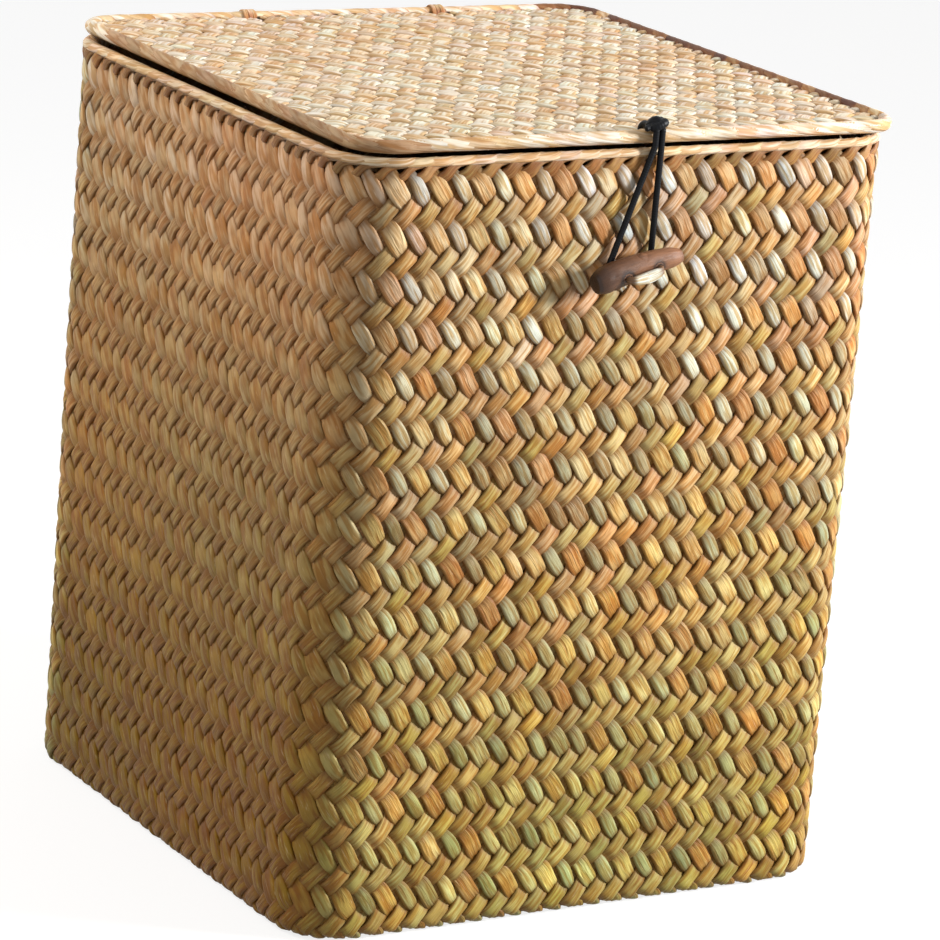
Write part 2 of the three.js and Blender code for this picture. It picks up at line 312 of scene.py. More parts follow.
# Mats of the lid and of the box's floor
mat_flatness = 0.92
mat_spare = 2
mat_fewest_rings = 5
lid_row_height = 4.35
lid_strand_pitch = 11.2
lid_mat_inset = 4.2
lid_variety = 0.05
tie_window_side = 2.6
tie_window_back = 2.2
tie_window_front = 9
floor_row_height = 5.5
floor_mat_inset = 7.0
floor_mat_rise = 0.3
wall_variety = 0.14

# A lid made by hand doesn't lie quite flat: its left edge is a little higher, as this slope
lid_lean = 0.0005

# Paths: even spacing, steps in a rounded corner, and the steepest slope against that of the neighbours
profile_step = 0.5
rounding_steps = 12
steepest_share = 2.5

rng_seed = 7


# Outlines and surfaces that strands follow


class Plan:
    """A rounded rectangle seen from above. Distances run anticlockwise along it, from the front's left."""

    def __init__(self, width, depth, radius, centre_x=0.0):
        self.radius = radius
        self.centre_x = centre_x
        self.half_size = np.array([width / 2, depth / 2])
        half_x = width / 2 - radius
        half_y = depth / 2 - radius
        self.straights = np.array([2 * half_x, 2 * half_y, 2 * half_x, 2 * half_y])
        self.starts = np.array([(-half_x, -half_y), (half_x, -half_y), (half_x, half_y), (-half_x, half_y)])
        quarter_lengths = self.straights + radius * math.pi / 2
        self.ends = np.cumsum(quarter_lengths)
        self.begins = self.ends - quarter_lengths
        self.length = self.ends[-1]

    def at(self, distance):
        """Points on the outer edge, and the outward normals there."""
        distance = np.mod(distance, self.length)
        quarter = np.minimum(np.searchsorted(self.ends, distance, side="right"), 3)
        beyond = distance - self.begins[quarter]
        along = np.minimum(beyond, self.straights[quarter])
        turn = (beyond - along) / self.radius
        facing = quarter * math.pi / 2
        normal = np.stack([np.sin(facing + turn), -np.cos(facing + turn)], -1)
        heading = np.stack([np.cos(facing), np.sin(facing)], -1)
        point = self.starts[quarter] + heading * along[..., None] + self.radius * normal
        point[..., 0] += self.centre_x
        return point, normal

    def inside(self, x, y, inset):
        """How far points lie inside the outline that is `inset` in from the edge."""
        radius = self.radius - inset
        reach = self.half_size - self.radius
        gap_x = np.abs(x - self.centre_x) - reach[0]
        gap_y = np.abs(y) - reach[1]
        outside = np.hypot(np.maximum(gap_x, 0), np.maximum(gap_y, 0))
        return radius - outside - np.minimum(np.maximum(gap_x, gap_y), 0)


def rounded_path(points, radii):
    """Evenly spaced points along a polyline whose inner corners are rounded off."""
    points = [np.array(point, float) for point in points]
    path = [points[0]]
    for before, corner, after, radius in zip(points, points[1:], points[2:], radii):
        back = (before - corner) / np.linalg.norm(before - corner)
        ahead = (after - corner) / np.linalg.norm(after - corner)
        half = math.acos(np.clip(back @ ahead, -1, 1)) / 2
        reach = radius / math.tan(half)
        centre = corner + (back + ahead) / np.linalg.norm(back + ahead) * radius / math.sin(half)
        first = corner + back * reach - centre
        last = corner + ahead * reach - centre
        start = math.atan2(first[1], first[0])
        turn = (math.atan2(last[1], last[0]) - start + math.pi) % (2 * math.pi) - math.pi
        for share in np.linspace(0, 1, rounding_steps):
            angle = start + turn * share
            path.append(centre + radius * np.array([math.cos(angle), math.sin(angle)]))
    path.append(points[-1])
    return even_path(path, profile_step)


def turns_of(sides):
    """The angles of the points round a section."""
    return np.arange(sides) / sides * 2 * math.pi


def on_circle(turns):
    return np.stack([np.cos(turns), np.sin(turns)], -1)


def lengths_along(points):
    """How far along the line through the points each of them lies."""
    steps = np.linalg.norm(np.diff(points, axis=0), axis=1)
    return np.concatenate([[0], np.cumsum(steps)])


def even_path(points, step):
    points = np.array(points, float)
    lengths = lengths_along(points)
    count = max(2, int(round(lengths[-1] / step)) + 1)
    even = np.linspace(0, lengths[-1], count)
    return np.stack([np.interp(even, lengths, points[:, k]) for k in range(points.shape[1])], -1)


class Shell:
    """A surface swept round a plan. Its profile is a path of (inset, height), downwards on the outside."""

    def __init__(self, plan, path, lean=0.0):
        self.plan = plan
        self.path = path
        self.lean = lean
        heading = np.gradient(path, axis=0)
        heading /= np.linalg.norm(heading, axis=1)[:, None]
        self.outward = np.stack([heading[:, 1], -heading[:, 0]], -1)
        self.place = lengths_along(path)
        self.length = self.place[-1]

    def at(self, around, along, lift):
        """Points `around` the plan and `along` the profile, with `lift` as their height off the surface."""
        inset, height = (np.interp(along, self.place, self.path[:, k]) for k in range(2))
        out_inset, out_height = (np.interp(along, self.place, self.outward[:, k]) for k in range(2))
        point, normal = self.plan.at(around)
        flat = point - normal * (inset + out_inset * lift)[..., None]
        height = height + out_height * lift - self.lean * flat[..., 0]
        return np.concatenate([flat, height[..., None]], -1)

    def along_at_height(self, height):
        """The distance along the profile of a height on its outer side."""
        outer = np.arange(len(self.path)) >= np.argmax(self.path[:, 1])
        return np.interp(-height, -self.path[outer, 1], self.place[outer])


class Sheet:
    """A flat surface seen from above: `around` runs to the right and `along` towards the front."""

    def __init__(self, left, back, height, lean=0.0):
        self.left, self.back, self.height, self.lean = left, back, height, lean

    def at(self, around, along, lift):
        x = self.left + around + 0 * lift
        return np.stack([x, self.back - along + 0 * lift, self.height + lift - self.lean * x], -1)


# Tubes, which all strands, cords and wires are. Each has a strip of its own in the map.


class Tubes:
    """Gathers tubes with closed ends, given as rings of points, and makes one mesh of them."""

    def __init__(self):
        self.points, self.quads, self.caps, self.values = [], [], [], {}
        self.quad_maps, self.cap_maps = [], []
        self.count = 0

    def add(self, rings, values=None, closed=False):
        steps, sides = rings.shape[:2]
        index = np.arange(steps * sides).reshape(steps, sides) + self.count
        after = np.roll(index, -1, 0) if closed else index[1:]
        here = index if closed else index[:-1]
        quads = np.stack([here, np.roll(here, -1, 1), np.roll(after, -1, 1), after], -1)
        self.quads.append(quads.reshape(-1, 4))
        ring, side = np.meshgrid(np.arange(len(here)), np.arange(sides), indexing="ij")
        u = np.stack([ring, ring, ring + 1, ring + 1], -1) / len(here)
        v = np.stack([side, side + 1, side + 1, side], -1) / sides
        strip = len(self.quad_maps) + strip_margin
        width = 1 - 2 * strip_margin
        self.quad_maps.append(np.stack([u, strip + width * v], -1).reshape(-1, 2))
        if not closed:
            turn = np.arange(sides) / sides
            self.caps.append(index[0, ::-1])
            self.caps.append(index[-1])
            self.cap_maps.append(np.stack([0 * turn, strip + width * turn[::-1]], -1))
            self.cap_maps.append(np.stack([0 * turn + 1, strip + width * turn], -1))
        self.points.append(rings.reshape(-1, 3))
        self.count += steps * sides
        for key, value in (values or {}).items():
            channels = 3 if key == "tint" else 1
            full = np.broadcast_to(value, (steps, sides, channels)).reshape(-1, channels)
            self.values.setdefault(key, []).append(full)
        return self

    def mesh(self, name):
        mesh = bpy.data.meshes.new(name)
        mesh.vertices.add(self.count)
        mesh.vertices.foreach_set("co", (np.concatenate(self.points) * mm).astype(np.float32).ravel())
        faces = [quads.ravel() for quads in self.quads] + self.caps
        counts = [np.full(len(quads), 4) for quads in self.quads] + [[len(cap)] for cap in self.caps]
        corners, counts = np.concatenate(faces), np.concatenate(counts)
        mesh.loops.add(len(corners))
        mesh.loops.foreach_set("vertex_index", corners.astype(np.int32))
        mesh.polygons.add(len(counts))
        mesh.polygons.foreach_set("loop_start", (np.cumsum(counts) - counts).astype(np.int32))
        mesh.polygons.foreach_set("loop_total", counts.astype(np.int32))
        mesh.update(calc_edges=True)
        mesh.polygons.foreach_set("use_smooth", np.ones(len(counts), bool))
        strips = np.concatenate(self.quad_maps + self.cap_maps) / (1, len(self.quad_maps))
        mesh.uv_layers.new(name="OFBake").data.foreach_set("uv", strips.astype(np.float32).ravel())
        for key, parts in self.values.items():
            kind, field, data = "FLOAT", "value", np.concatenate(parts)
            if key == "tint":
                kind, field, data = "FLOAT_COLOR", "color", np.column_stack([data, np.ones(len(data))])
            attribute = mesh.attributes.new(key, kind, "POINT")
            attribute.data.foreach_set(field, data.astype(np.float32).ravel())
        return mesh


def new_object(name, data):
    obj = bpy.data.objects.new(name, data)
    bpy.context.scene.collection.objects.link(obj)
    return obj


def piece(name, tubes, slot, body, *replaced):
    """Makes a named piece of gathered tubes, and tells the frame where it belongs."""
    obj = new_object(name, tubes.mesh(name))
    obj.data.materials.append(materials[slot])
    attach(obj, body)
    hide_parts(*replaced)
    return obj


def slow_noise(rng, count, spacing, channels=1):
    """Smooth random values from -1 to 1 for `count` rings, new every `spacing` rings."""
    knots = int(count / spacing) + 3
    values = rng.uniform(-1, 1, (knots, channels))
    place = np.arange(count) / spacing + rng.uniform(0, 1)
    index = place.astype(int)
    share = (place - index)[:, None]
    share = share * share * (3 - 2 * share)
    return values[index] * (1 - share) + values[index + 1] * share


def folded_section(rng, count, depth):
    """A leaf strand's section, ring by ring, with three soft folds of uneven depth on each face."""
    side = np.arange(section_sides)
    turn = turns_of(section_sides)
    face = section_sides // 2
    full = np.sign(np.sin(turn)) * np.abs(np.sin(turn)) ** section_squareness
    valleys = np.isin(side % face, (face // 2 - 1, face // 2 + 1))
    valleys = valleys * rng.uniform(*valley_shares, section_sides)
    uneven = np.abs(slow_noise(rng, count, section_noise_rings, section_sides))
    return np.cos(turn), full * (1 - depth * valleys - section_unevenness * uneven)


def closing_ends(count):
    """Each ring's share of the full section, which closes over the last rings at both ends."""
    from_end = np.minimum(np.arange(count), np.arange(count)[::-1])
    return np.clip((from_end + 2 * end_share) / end_rings, end_share, 1)


def strand_rings(surface, around, along, lift, half_width, thickness, shape, twist=0.0):
    """Rings of a flat strand that follows a line on a surface. `twist` raises one side of it."""
    across, up = shape
    heading_around = np.gradient(around)
    heading_along = np.gradient(along)
    size = np.hypot(heading_around, heading_along)
    offset = half_width[:, None] * across
    s = around[:, None] - (heading_along / size)[:, None] * offset
    t = along[:, None] + (heading_around / size)[:, None] * offset
    return surface.at(s, t, (lift + 0 * around)[:, None] + thickness[:, None] * up + twist * offset)


def sweep(path, half_width, half_height, side, sides=12, shape=None, closed=False):
    """Rings along a path in space. `side` is a direction that the width keeps to, or None for a cord."""
    heading = np.roll(path, -1, 0) - np.roll(path, 1, 0) if closed else np.gradient(path, axis=0)
    heading /= np.linalg.norm(heading, axis=1)[:, None]
    if side is None:
        frames = [np.cross(heading[0], (0.3, 0.5, 0.8))]
        for direction in heading[1:]:
            frames.append(frames[-1] - direction * (frames[-1] @ direction))
        wide = np.array(frames)
    else:
        wide = np.array(side, float) - heading * (heading @ np.array(side, float))[:, None]
    wide /= np.linalg.norm(wide, axis=1)[:, None]
    high = np.cross(wide, heading)
    across, up = shape or on_circle(turns_of(sides)).T
    offset_wide = (np.ones(len(path)) * half_width)[:, None] * across
    offset_high = (np.ones(len(path)) * half_height)[:, None] * up
    return path[:, None] + wide[:, None] * offset_wide[..., None] + high[:, None] * offset_high[..., None]


# Colours, as written in sRGB


def linear(code):
    """Linear red, green and blue of a colour such as 0xc9a06b."""
    parts = np.array([code >> 16 & 255, code >> 8 & 255, code & 255]) / 255
    return np.where(parts <= 0.04045, parts / 12.92, ((parts + 0.055) / 1.055) ** 2.4)


def opaque(code):
    return (*linear(code), 1)


sage_tones = [0xc4c2ae, 0xb5b3a2, 0xd0cfc0, 0xbfb9a0, 0xa9a290, 0xc8c4b4, 0xb0b294]
orange_tones = [0xcf9c66, 0xd8b97e, 0xd2ac78, 0xd8ab86, 0xdebf8c, 0xc79260, 0xe2ca9e]
olive_tones = [0xc59a62, 0xb6a06a, 0xc4aa66, 0xd2b488, 0xd7aa88, 0xc39f6e, 0xdac296]
cream_tones = [0xf0e4d0, 0xeddccb, 0xf4ebdc, 0xebdfca, 0xefdacd, 0xe9e2d2]
edge_tones = [0xe8cfae, 0xe2c49e, 0xecd8b8, 0xdfc69c, 0xe8ccb2]
dull_tones = [0xa67c46, 0x987842, 0xb08248, 0xb98a56, 0x9c6f3c]
dull_edge_tones = [0xb89a74, 0xa98c68, 0xc4a883, 0xb39270]
under_edge_tones = [0x8a5a40, 0x9c6a4a, 0x7c4c34, 0xa87a58]
brown_tones = [0x5a3420, 0x7a5230, 0xa8835a, 0x69432a, 0x8d6540]
tie_tones = [0xb4703a, 0x9c5a2c, 0xc68a4e]
stitch_tones = [0xf3f8ee]
# Pinker at the top and olive and darker low down: partly the walls' own tone, partly painted shade towards
# the bottom
pink_shift = np.array([1.08, 1.06, 1.06])
olive_and_shade_shift = np.array([0.86, 0.90, 0.46])
# Top sage strands are lighter: partly their own paler tone, partly painted highlight
top_sage_shift = np.array([1.18, 1.24, 1.40])
patch_shift = np.array([0.08, 0.0, -0.06])
# The left side lies in shade: these darken and brown its tones as painted shade, more towards the bottom
left_shade_top_shift = np.array([0.96, 0.85, 0.80])
left_shade_low_shift = np.array([0.50, 0.34, 0.07])
# How far the left side's tones are evened, its strands' widths and waves changed, and their painted side and
# dive shade faded
left_evenness = 0.75
brightest_tint = 0.82


def tones_of(codes):
    return np.array([linear(code) for code in codes])


def pick(rng, tones):
    return tones[rng.integers(0, len(tones))]


# Node materials


class Nodes:
    """A material's node tree, with short ways to add what the materials here need."""

    def __init__(self, name):
        self.material = bpy.data.materials.new(name)
        self.material.use_nodes = True
        self.tree = self.material.node_tree
        self.shader = self.tree.nodes["Principled BSDF"]

    def add(self, kind, **settings):
        node = self.tree.nodes.new(kind)
        for key, value in settings.items():
            setattr(node, key, value)
        return node

    def put(self, socket, value):
        if isinstance(value, bpy.types.NodeSocket):
            self.tree.links.new(value, socket)
        else:
            socket.default_value = value

    def attribute(self, key, output="Fac"):
        return self.add("ShaderNodeAttribute", attribute_name=key).outputs[output]

    def give(self, name, value):
        """Gives one of the shader's inputs a value or another node's output."""
        self.put(self.shader.inputs[name], value)

    def maths(self, operation, *values):
        node = self.add("ShaderNodeMath", operation=operation)
        for socket, value in zip(node.inputs, values):
            self.put(socket, value)
        return node.outputs[0]

    def times(self, value, factor):
        return self.maths("MULTIPLY", value, factor)

    def mix(self, kind, factor, first, second):
        node = self.add("ShaderNodeMix", data_type="RGBA", blend_type=kind)
        for index, value in ((0, factor), (6, first), (7, second)):
            self.put(node.inputs[index], value)
        return node.outputs[2]

    def smooth(self, value, low, high):
        """0 below `low`, 1 above `high`, with a smooth step between."""
        node = self.add("ShaderNodeMapRange", interpolation_type="SMOOTHSTEP")
        for index, given in ((0, value), (1, low), (2, high)):
            self.put(node.inputs[index], given)
        return node.outputs[0]

    def noise(self, place, scale=1.0, detail=2.0, roughness=0.5):
        node = self.add("ShaderNodeTexNoise")
        self.put(node.inputs["Vector"], place)
        node.inputs["Scale"].default_value = scale
        node.inputs["Detail"].default_value = detail
        node.inputs["Roughness"].default_value = roughness
        return node.outputs["Fac"]

    def place(self, *values):
        node = self.add("ShaderNodeCombineXYZ")
        for socket, value in zip(node.inputs, values):
            self.put(socket, value)
        return node.outputs[0]

    def bump(self, height, strength, distance):
        node = self.add("ShaderNodeBump")
        node.inputs["Strength"].default_value = strength
        node.inputs["Distance"].default_value = distance
        self.put(node.inputs["Height"], height)
        self.give("Normal", node.outputs[0])


def seagrass_material(name, crease_shade, brown, side_shade, pale, gloss):
    """Dry leaf: a tint for each strand, streaks along it, and painted shade in its creases, at its sides and
    dives.

    The numbers say how strongly painted shade darkens its creases, dives and sides, how much its fibres
    pale, partly as painted highlight, and its gloss.
    """
    nodes = Nodes(name)
    along = nodes.attribute("along")
    across = nodes.attribute("across")

    def streaks(stretch, lines, detail):
        place = nodes.place(nodes.times(along, stretch), nodes.times(across, lines))
        return nodes.noise(place, 1.0, detail, 0.6)

    fibre = streaks(0.10, 5.5, 3.0)
    streak = streaks(0.045, 1.9, 1.5)
    blotch = streaks(0.07, 0.4, 2.0)
    # Folds: creases at wandering places, sunk by the bump and darkened as painted shade
    wander = nodes.maths("ABSOLUTE", nodes.maths("SUBTRACT", streaks(0.022, 1.5, 1.0), 0.5))
    folds = nodes.maths("SUBTRACT", 1.0, nodes.smooth(wander, 0.0, 0.05))
    folds = nodes.times(folds, nodes.attribute("ridged"))
    # Painted shade at the strand's sides, along the gaps between strands
    sides = nodes.smooth(nodes.maths("ABSOLUTE", across), 0.66, 1.0)
    # Painted shade where the strand dives under others
    dive_shade_mask = nodes.maths("POWER", nodes.attribute("dive_shade"), 1.4)
    colour = nodes.attribute("tint", "Color")
    colour = nodes.mix("MULTIPLY", nodes.smooth(streak, 0.40, 0.60), colour, opaque(0xdcc09a))
    # Pale fibre flecks: partly the leaf's own pale fibres, partly painted highlight
    pale_and_highlight = nodes.times(nodes.smooth(fibre, 0.55, 0.75), pale)
    colour = nodes.mix("SCREEN", pale_and_highlight, colour, opaque(0xe6d6b4))
    colour = nodes.mix("MULTIPLY", 1.0, colour, nodes.maths("MULTIPLY_ADD", blotch, 0.8, 0.66))
    # Creases, sides and dives are darkened towards one brown as painted shade
    for place, strength in ((folds, crease_shade), (sides, side_shade), (dive_shade_mask, brown)):
        colour = nodes.mix("MIX", nodes.times(place, strength), colour, opaque(0x6e4622))
    nodes.give("Base Color", colour)
    nodes.give("Roughness", nodes.maths("MULTIPLY_ADD", fibre, 0.4, 0.28))
    nodes.give("Specular IOR Level", gloss)
    relief = nodes.maths("MULTIPLY_ADD", folds, -0.35, nodes.maths("ADD", fibre, streak))
    nodes.bump(relief, 0.5, 0.0008)
    return nodes.material


def iron_material():
    nodes = Nodes("iron_wire")
    place = nodes.add("ShaderNodeTexCoord").outputs["Object"]
    rust = nodes.noise(place, 180.0, 5.0, 0.6)
    spots = nodes.maths("POWER", rust, 2.0)
    nodes.give("Base Color", nodes.mix("MIX", spots, opaque(0x4a4744), opaque(0x7a4a2c)))
    nodes.give("Metallic", 0.8)
    nodes.give("Roughness", nodes.maths("MULTIPLY_ADD", rust, 0.5, 0.3))
    nodes.bump(rust, 0.3, 0.0002)
    return nodes.material


def bark_material():
    """Smooth brown bark: long streaks, darker towards the thick end and at both ends, with painted shade at
    the holes.
    """
    nodes = Nodes("twig_bark")
    along = nodes.attribute("along")
    around = nodes.attribute("around")
    turn = (nodes.maths("COSINE", around), nodes.maths("SINE", around))
    streak = nodes.noise(nodes.place(nodes.times(along, 0.03), *turn), 3.4, 5.0, 0.7)
    patch = nodes.noise(nodes.place(nodes.times(along, 0.05), *turn), 1.6, 3.0)
    colour = nodes.mix("MIX", streak, opaque(0x3a2014), opaque(0xd0946a))
    colour = nodes.mix("MIX", nodes.times(patch, 0.4), colour, opaque(0x7a4a30))
    colour = nodes.mix("MIX", nodes.attribute("dark"), colour, opaque(0x24140c))
    nodes.give("Base Color", colour)
    nodes.give("Roughness", nodes.maths("MULTIPLY_ADD", streak, 0.4, 0.25))
    nodes.give("Specular IOR Level", 0.35)
    nodes.bump(streak, 0.6, 0.0008)
    return nodes.material


def cord_material():
    """Black waxed cord, laid from fine yarns that wind round it."""
    nodes = Nodes("black_cord")
    along = nodes.times(nodes.attribute("along"), 2.6)
    around = nodes.times(nodes.attribute("around"), 3.0)
    lays = [nodes.maths("SINE", nodes.maths(way, along, around)) for way in ("ADD", "SUBTRACT")]
    shade = nodes.maths("MULTIPLY_ADD", nodes.times(*lays), 0.5, 0.5)
    nodes.give("Base Color", nodes.mix("MIX", shade, opaque(0x020305), opaque(0x0a0d13)))
    nodes.give("Roughness", 0.45)
    nodes.give("Specular IOR Level", 0.15)
    nodes.bump(shade, 0.35, 0.0003)
    return nodes.material


# Twill of strands


def wave_angle(level):
    return 2 * math.pi * (level - 0.5) / crossings_per_wave


def level_wave(level):
    """How far a strand runs ahead of even spacing, in levels: rows with the first set over are taller."""
    return crossings_per_wave / (2 * math.pi) * np.sin(wave_angle(level))


def first_over(level):
    """1 where the first set lies over the second, -1 where it lies under, over two crossings each."""
    return np.tanh(over_sharpness * np.cos(wave_angle(level))) / math.tanh(over_sharpness)


across_shares = np.cos(turns_of(section_sides))


def leaf_values(tint, along, ridged, dive_shade, softness=0.0):
    """The point values that the seagrass materials read. Softness fades a strand's painted side and dive
    shade.
    """
    clear = 1 - np.reshape(softness, (-1, 1, 1))
    return {
        "tint": np.reshape(tint, (-1, 1, 3)),
        "along": along[:, None, None],
        "across": clear * across_shares[:, None],
        "ridged": ridged,
        "dive_shade": clear * np.reshape(dive_shade, (-1, 1, 1)),
    }


class Twill:
    """Two sets of strands on the bias.

    At each level, strand i of the first set crosses strand i + level of the second.
    """

    def __init__(self, surface, pitch, row_height, first_along, tones, seed, flatness, variety):
        self.surface = surface
        self.pitch = pitch
        self.row_height = row_height
        self.first_along = first_along
        self.tones = [tones_of(codes) for codes in tones]
        self.every_tone = np.concatenate(self.tones)
        self.rng = np.random.default_rng(seed)
        self.flatness = flatness
        self.variety = variety

    def line(self, number, first_set, level):
        """Where a strand's middle runs: around and along."""
        along = self.first_along + self.row_height * (level + row_wave * level_wave(level))
        lean = first_lean if first_set else second_lean
        slant = level / 2 - lean / 2 * level_wave(level)
        return (number + (slant if first_set else -slant)) * self.pitch, along

    def tint(self, number, first_set, level):
        """One tone for each strand, which changes a little from stitch to stitch."""
        own = pick(self.rng, self.tones[number % 2 if first_set else 2])
        stitch = np.floor((level + 0.5) / crossings_per_wave + (0.0 if first_set else 0.5)).astype(int)
        stitch -= stitch.min()
        count = stitch.max() + 1
        other = self.every_tone[self.rng.integers(0, len(self.every_tone), count)]
        change = self.rng.normal(0, 1, count)
        share = np.clip(tone_mix_share + tone_mix_spread * np.abs(change), 0, tone_mix_most)[:, None]
        tints = (own * (1 - share) + other * share) * np.exp(self.variety * change)[:, None]
        return tints[stitch]

    def strand(self, tubes, number, first_set, level, shift=1.0, calm=0.0, evenness=0.0):
        """Adds a strand over a run of levels. By ring, `calm` flattens waves and `evenness` evens tones."""
        rng = self.rng
        count = len(level)
        around, along = self.line(number, first_set, level)
        side = first_over(level) * (1 if first_set else -1)
        wave = np.abs(np.cos(wave_angle(level)))
        smooth = first_set and number % 2 == 0
        kind = narrow_strand if smooth else wide_strand if first_set else other_strand
        half_width, pinch, depth, thickness_share = kind
        uneven, wobble, rise, twist = slow_noise(rng, count, noise_rings, 4).T
        evenness = np.broadcast_to(evenness, (count, 1))
        half_width = half_width * self.pitch / width_pitch * (1 - pinch * (1 - wave ** pinch_power))
        half_width *= 1 + width_jitter_share * uneven
        half_width *= 1 + (first_spread if first_set else -second_spread) * evenness[:, 0]
        if not first_set:
            half_width *= np.where(side > 0, 1 - (1 - second_over_share) * wave, 1)
        thickness = strand_thickness * self.flatness * thickness_share
        thickness = thickness * (1 - dived_thinning_share * (1 - wave))
        flattening = (1 - calm_flattening_share * calm) * (1 - even_flattening_share * evenness[:, 0])
        closing = closing_ends(count)
        rings = strand_rings(
            self.surface,
            around + strand_wobble * wobble,
            along,
            strand_lift * self.flatness * side * flattening + strand_rise * rise,
            half_width * closing,
            thickness * closing,
            folded_section(rng, count, depth),
            (strand_twist_share * twist)[:, None],
        )
        tint = self.tint(number, first_set, level)
        tint = (tint + (self.every_tone.mean(0) - tint) * evenness) * shift
        ridged = narrow_creases if smooth else rng.uniform(*wide_creases)
        # Painted shade where the strand dives under the other set, and on the wall strands' tops in the
        # rim's shade
        dive_shade = np.clip(1 - (side * 0.5 + 0.5) * wave ** dive_power, 0, 1)
        tubes.add(rings, leaf_values(
            np.minimum(tint, brightest_tint),
            along * texture_stretch + rng.uniform(0, texture_span),
            ridged,
            np.maximum(dive_shade, 1 - smooth_step(level, *shaded_top_levels)),
            even_softening_share * evenness * first_set,
        ))


# Each seagrass material takes the strengths of painted shade in creases, at dives and at sides, of pale
# fibres that are partly painted highlight, and its gloss
materials = {
    "seagrass_wall": seagrass_material("seagrass_wall", 0.25, 0.64, 0.50, 0.30, 0.22),
    "seagrass_lid": seagrass_material("seagrass_lid", 0.20, 0.22, 0.15, 0.12, 0.30),
    "seagrass_edge": seagrass_material("seagrass_edge", 0.30, 0.65, 0.35, 0.12, 0.35),
    "pale_strand": seagrass_material("pale_strand", 0.20, 0.95, 0.30, 0.20, 0.5),
    "iron_wire": iron_material(),
    "twig_bark": bark_material(),
    "black_cord": cord_material(),
}

box_plan = Plan(box_width, box_depth, corner_radius)
lid_plan = Plan(lid_width, lid_depth, lid_corner_radius, lid_centre_x)
wall_middle = wall_thickness / 2
wall_shell = Shell(box_plan, rounded_path(
    [
        (wall_middle, wall_top + wall_over_top),
        (wall_middle, wall_middle),
        (wall_middle + base_edge_radius + base_tuck, wall_middle),
    ],
    [base_edge_radius - wall_middle],
))
wall_tones = (sage_tones, orange_tones, olive_tones)
strand_pitch = box_plan.length / strands_each_way
wall_first_along = wall_top + wall_over_top - (first_row_height + wall_row_height / 2)


def run_of(items, group, groups):
    """One of several runs that items are divided into."""
    return items[len(items) * group // groups:len(items) * (group + 1) // groups]


def on_left_side(around):
    """1 along the box's left side and 0 elsewhere, for distances round the walls."""
    begin, end = box_plan.begins[3], box_plan.length
    before, after = left_corner_fade
    begun = smooth_step(around, begin - left_fade, begin + left_fade)
    return (begun * (1 - smooth_step(around, end - before, end + after)))[:, None]


def wall_shift(around, along, left_side, sage):
    """What tones are multiplied by: pinker at the top, olive and darker lower down partly as painted shade,
    darker on the left as painted shade, top sage lighter partly as painted highlight, in patches.
    """
    low = np.clip((along - tone_change_start) / tone_change_length, 0, 1)[:, None]
    shift = pink_shift * (1 - low) + olive_and_shade_shift * low
    left_shade_shift = left_shade_top_shift * (1 - low) + left_shade_low_shift * low
    waves = [
        np.sin(place / length + phase)
        for place, length, phase in zip((around, along), patch_lengths, patch_phases)
    ]
    patch = (waves[0] * waves[1])[:, None]
    shift = shift * (1 + (left_shade_shift - 1) * left_side) * (1 + patch_shift * patch)
    if sage:
        high = 1 - smooth_step(along, *sage_top_ends)[:, None]
        shift = shift * (1 + (top_sage_shift - 1) * high)
    return shift


def woven_walls():
    twill = Twill(
        wall_shell, strand_pitch, wall_row_height, wall_first_along, wall_tones, rng_seed,
        wall_flatness, wall_variety,
    )
    last_level = (wall_shell.length - wall_first_along) / wall_row_height - last_level_gap
    for first_set, letter, top_level in ((True, "a", first_top_level), (False, "b", second_top_level)):
        level = np.linspace(top_level, last_level, int((last_level - top_level) * steps_per_crossing))
        along = twill.line(0, first_set, level)[1]
        calm = 1 - np.clip((wall_shell.length - along) / calm_length, 0, 1)
        for group in range(wall_groups):
            tubes = Tubes()
            for number in run_of(range(strands_each_way), group, wall_groups):
                around = np.mod(twill.line(number, first_set, level)[0], box_plan.length)
                left_side = on_left_side(around)
                shift = wall_shift(around, along, left_side, first_set and number % 2 == 0)
                twill.strand(tubes, number, first_set, level, shift, calm, left_evenness * left_side)
            piece(f"wall_strands_{letter}{group + 1}", tubes, "seagrass_wall", "box", "woven_body")


def kept_runs(x, y, plan, inset, holes):
    """Where a line of points runs inside a plan and outside its holes, as pairs of a start and an end."""
    keep = plan.inside(x, y, inset) > 0
    for low, high in holes:
        keep &= ~((x > low[0]) & (x < high[0]) & (y > low[1]) & (y < high[1]))
    changes = np.flatnonzero(np.diff(keep, prepend=False, append=False)).reshape(-1, 2)
    return [(start, end) for start, end in changes if end - start >= mat_fewest_rings]


def mat(name, plan, inset, height, pitch, row_height, tones, variety, seed, slot, body, node, holes=()):
    """A flat mat of the same twill, cut to a plan, with each set of strands in `mat_groups` pieces."""
    left, back = plan.centre_x - plan.half_size[0], plan.half_size[1]
    sheet = Sheet(left, back, height, lid_lean if body == "lid" else 0.0)
    twill = Twill(sheet, pitch, row_height, row_height / 2, tones, seed, mat_flatness, variety)
    levels = int(2 * plan.half_size[1] / row_height) + mat_spare
    count = int(2 * plan.half_size[0] / pitch) + mat_spare
    level = np.arange(0, levels, 1 / steps_per_crossing)
    numbers_of_sets = (range(-levels // 2, count), range(0, count + levels // 2))
    for first_set, letter, numbers in zip((True, False), "ab", numbers_of_sets):
        for group in range(mat_groups):
            tubes = Tubes()
            for number in run_of(numbers, group, mat_groups):
                around, along = twill.line(number, first_set, level)
                for start, end in kept_runs(left + around, back - along, plan, inset, holes):
                    twill.strand(tubes, number, first_set, level[start:end])
            piece(f"{name}_{letter}{group + 1}", tubes, slot, body, node)


# Rim and lid edge: strands that come up on the slant, then lie along the edge one over the other


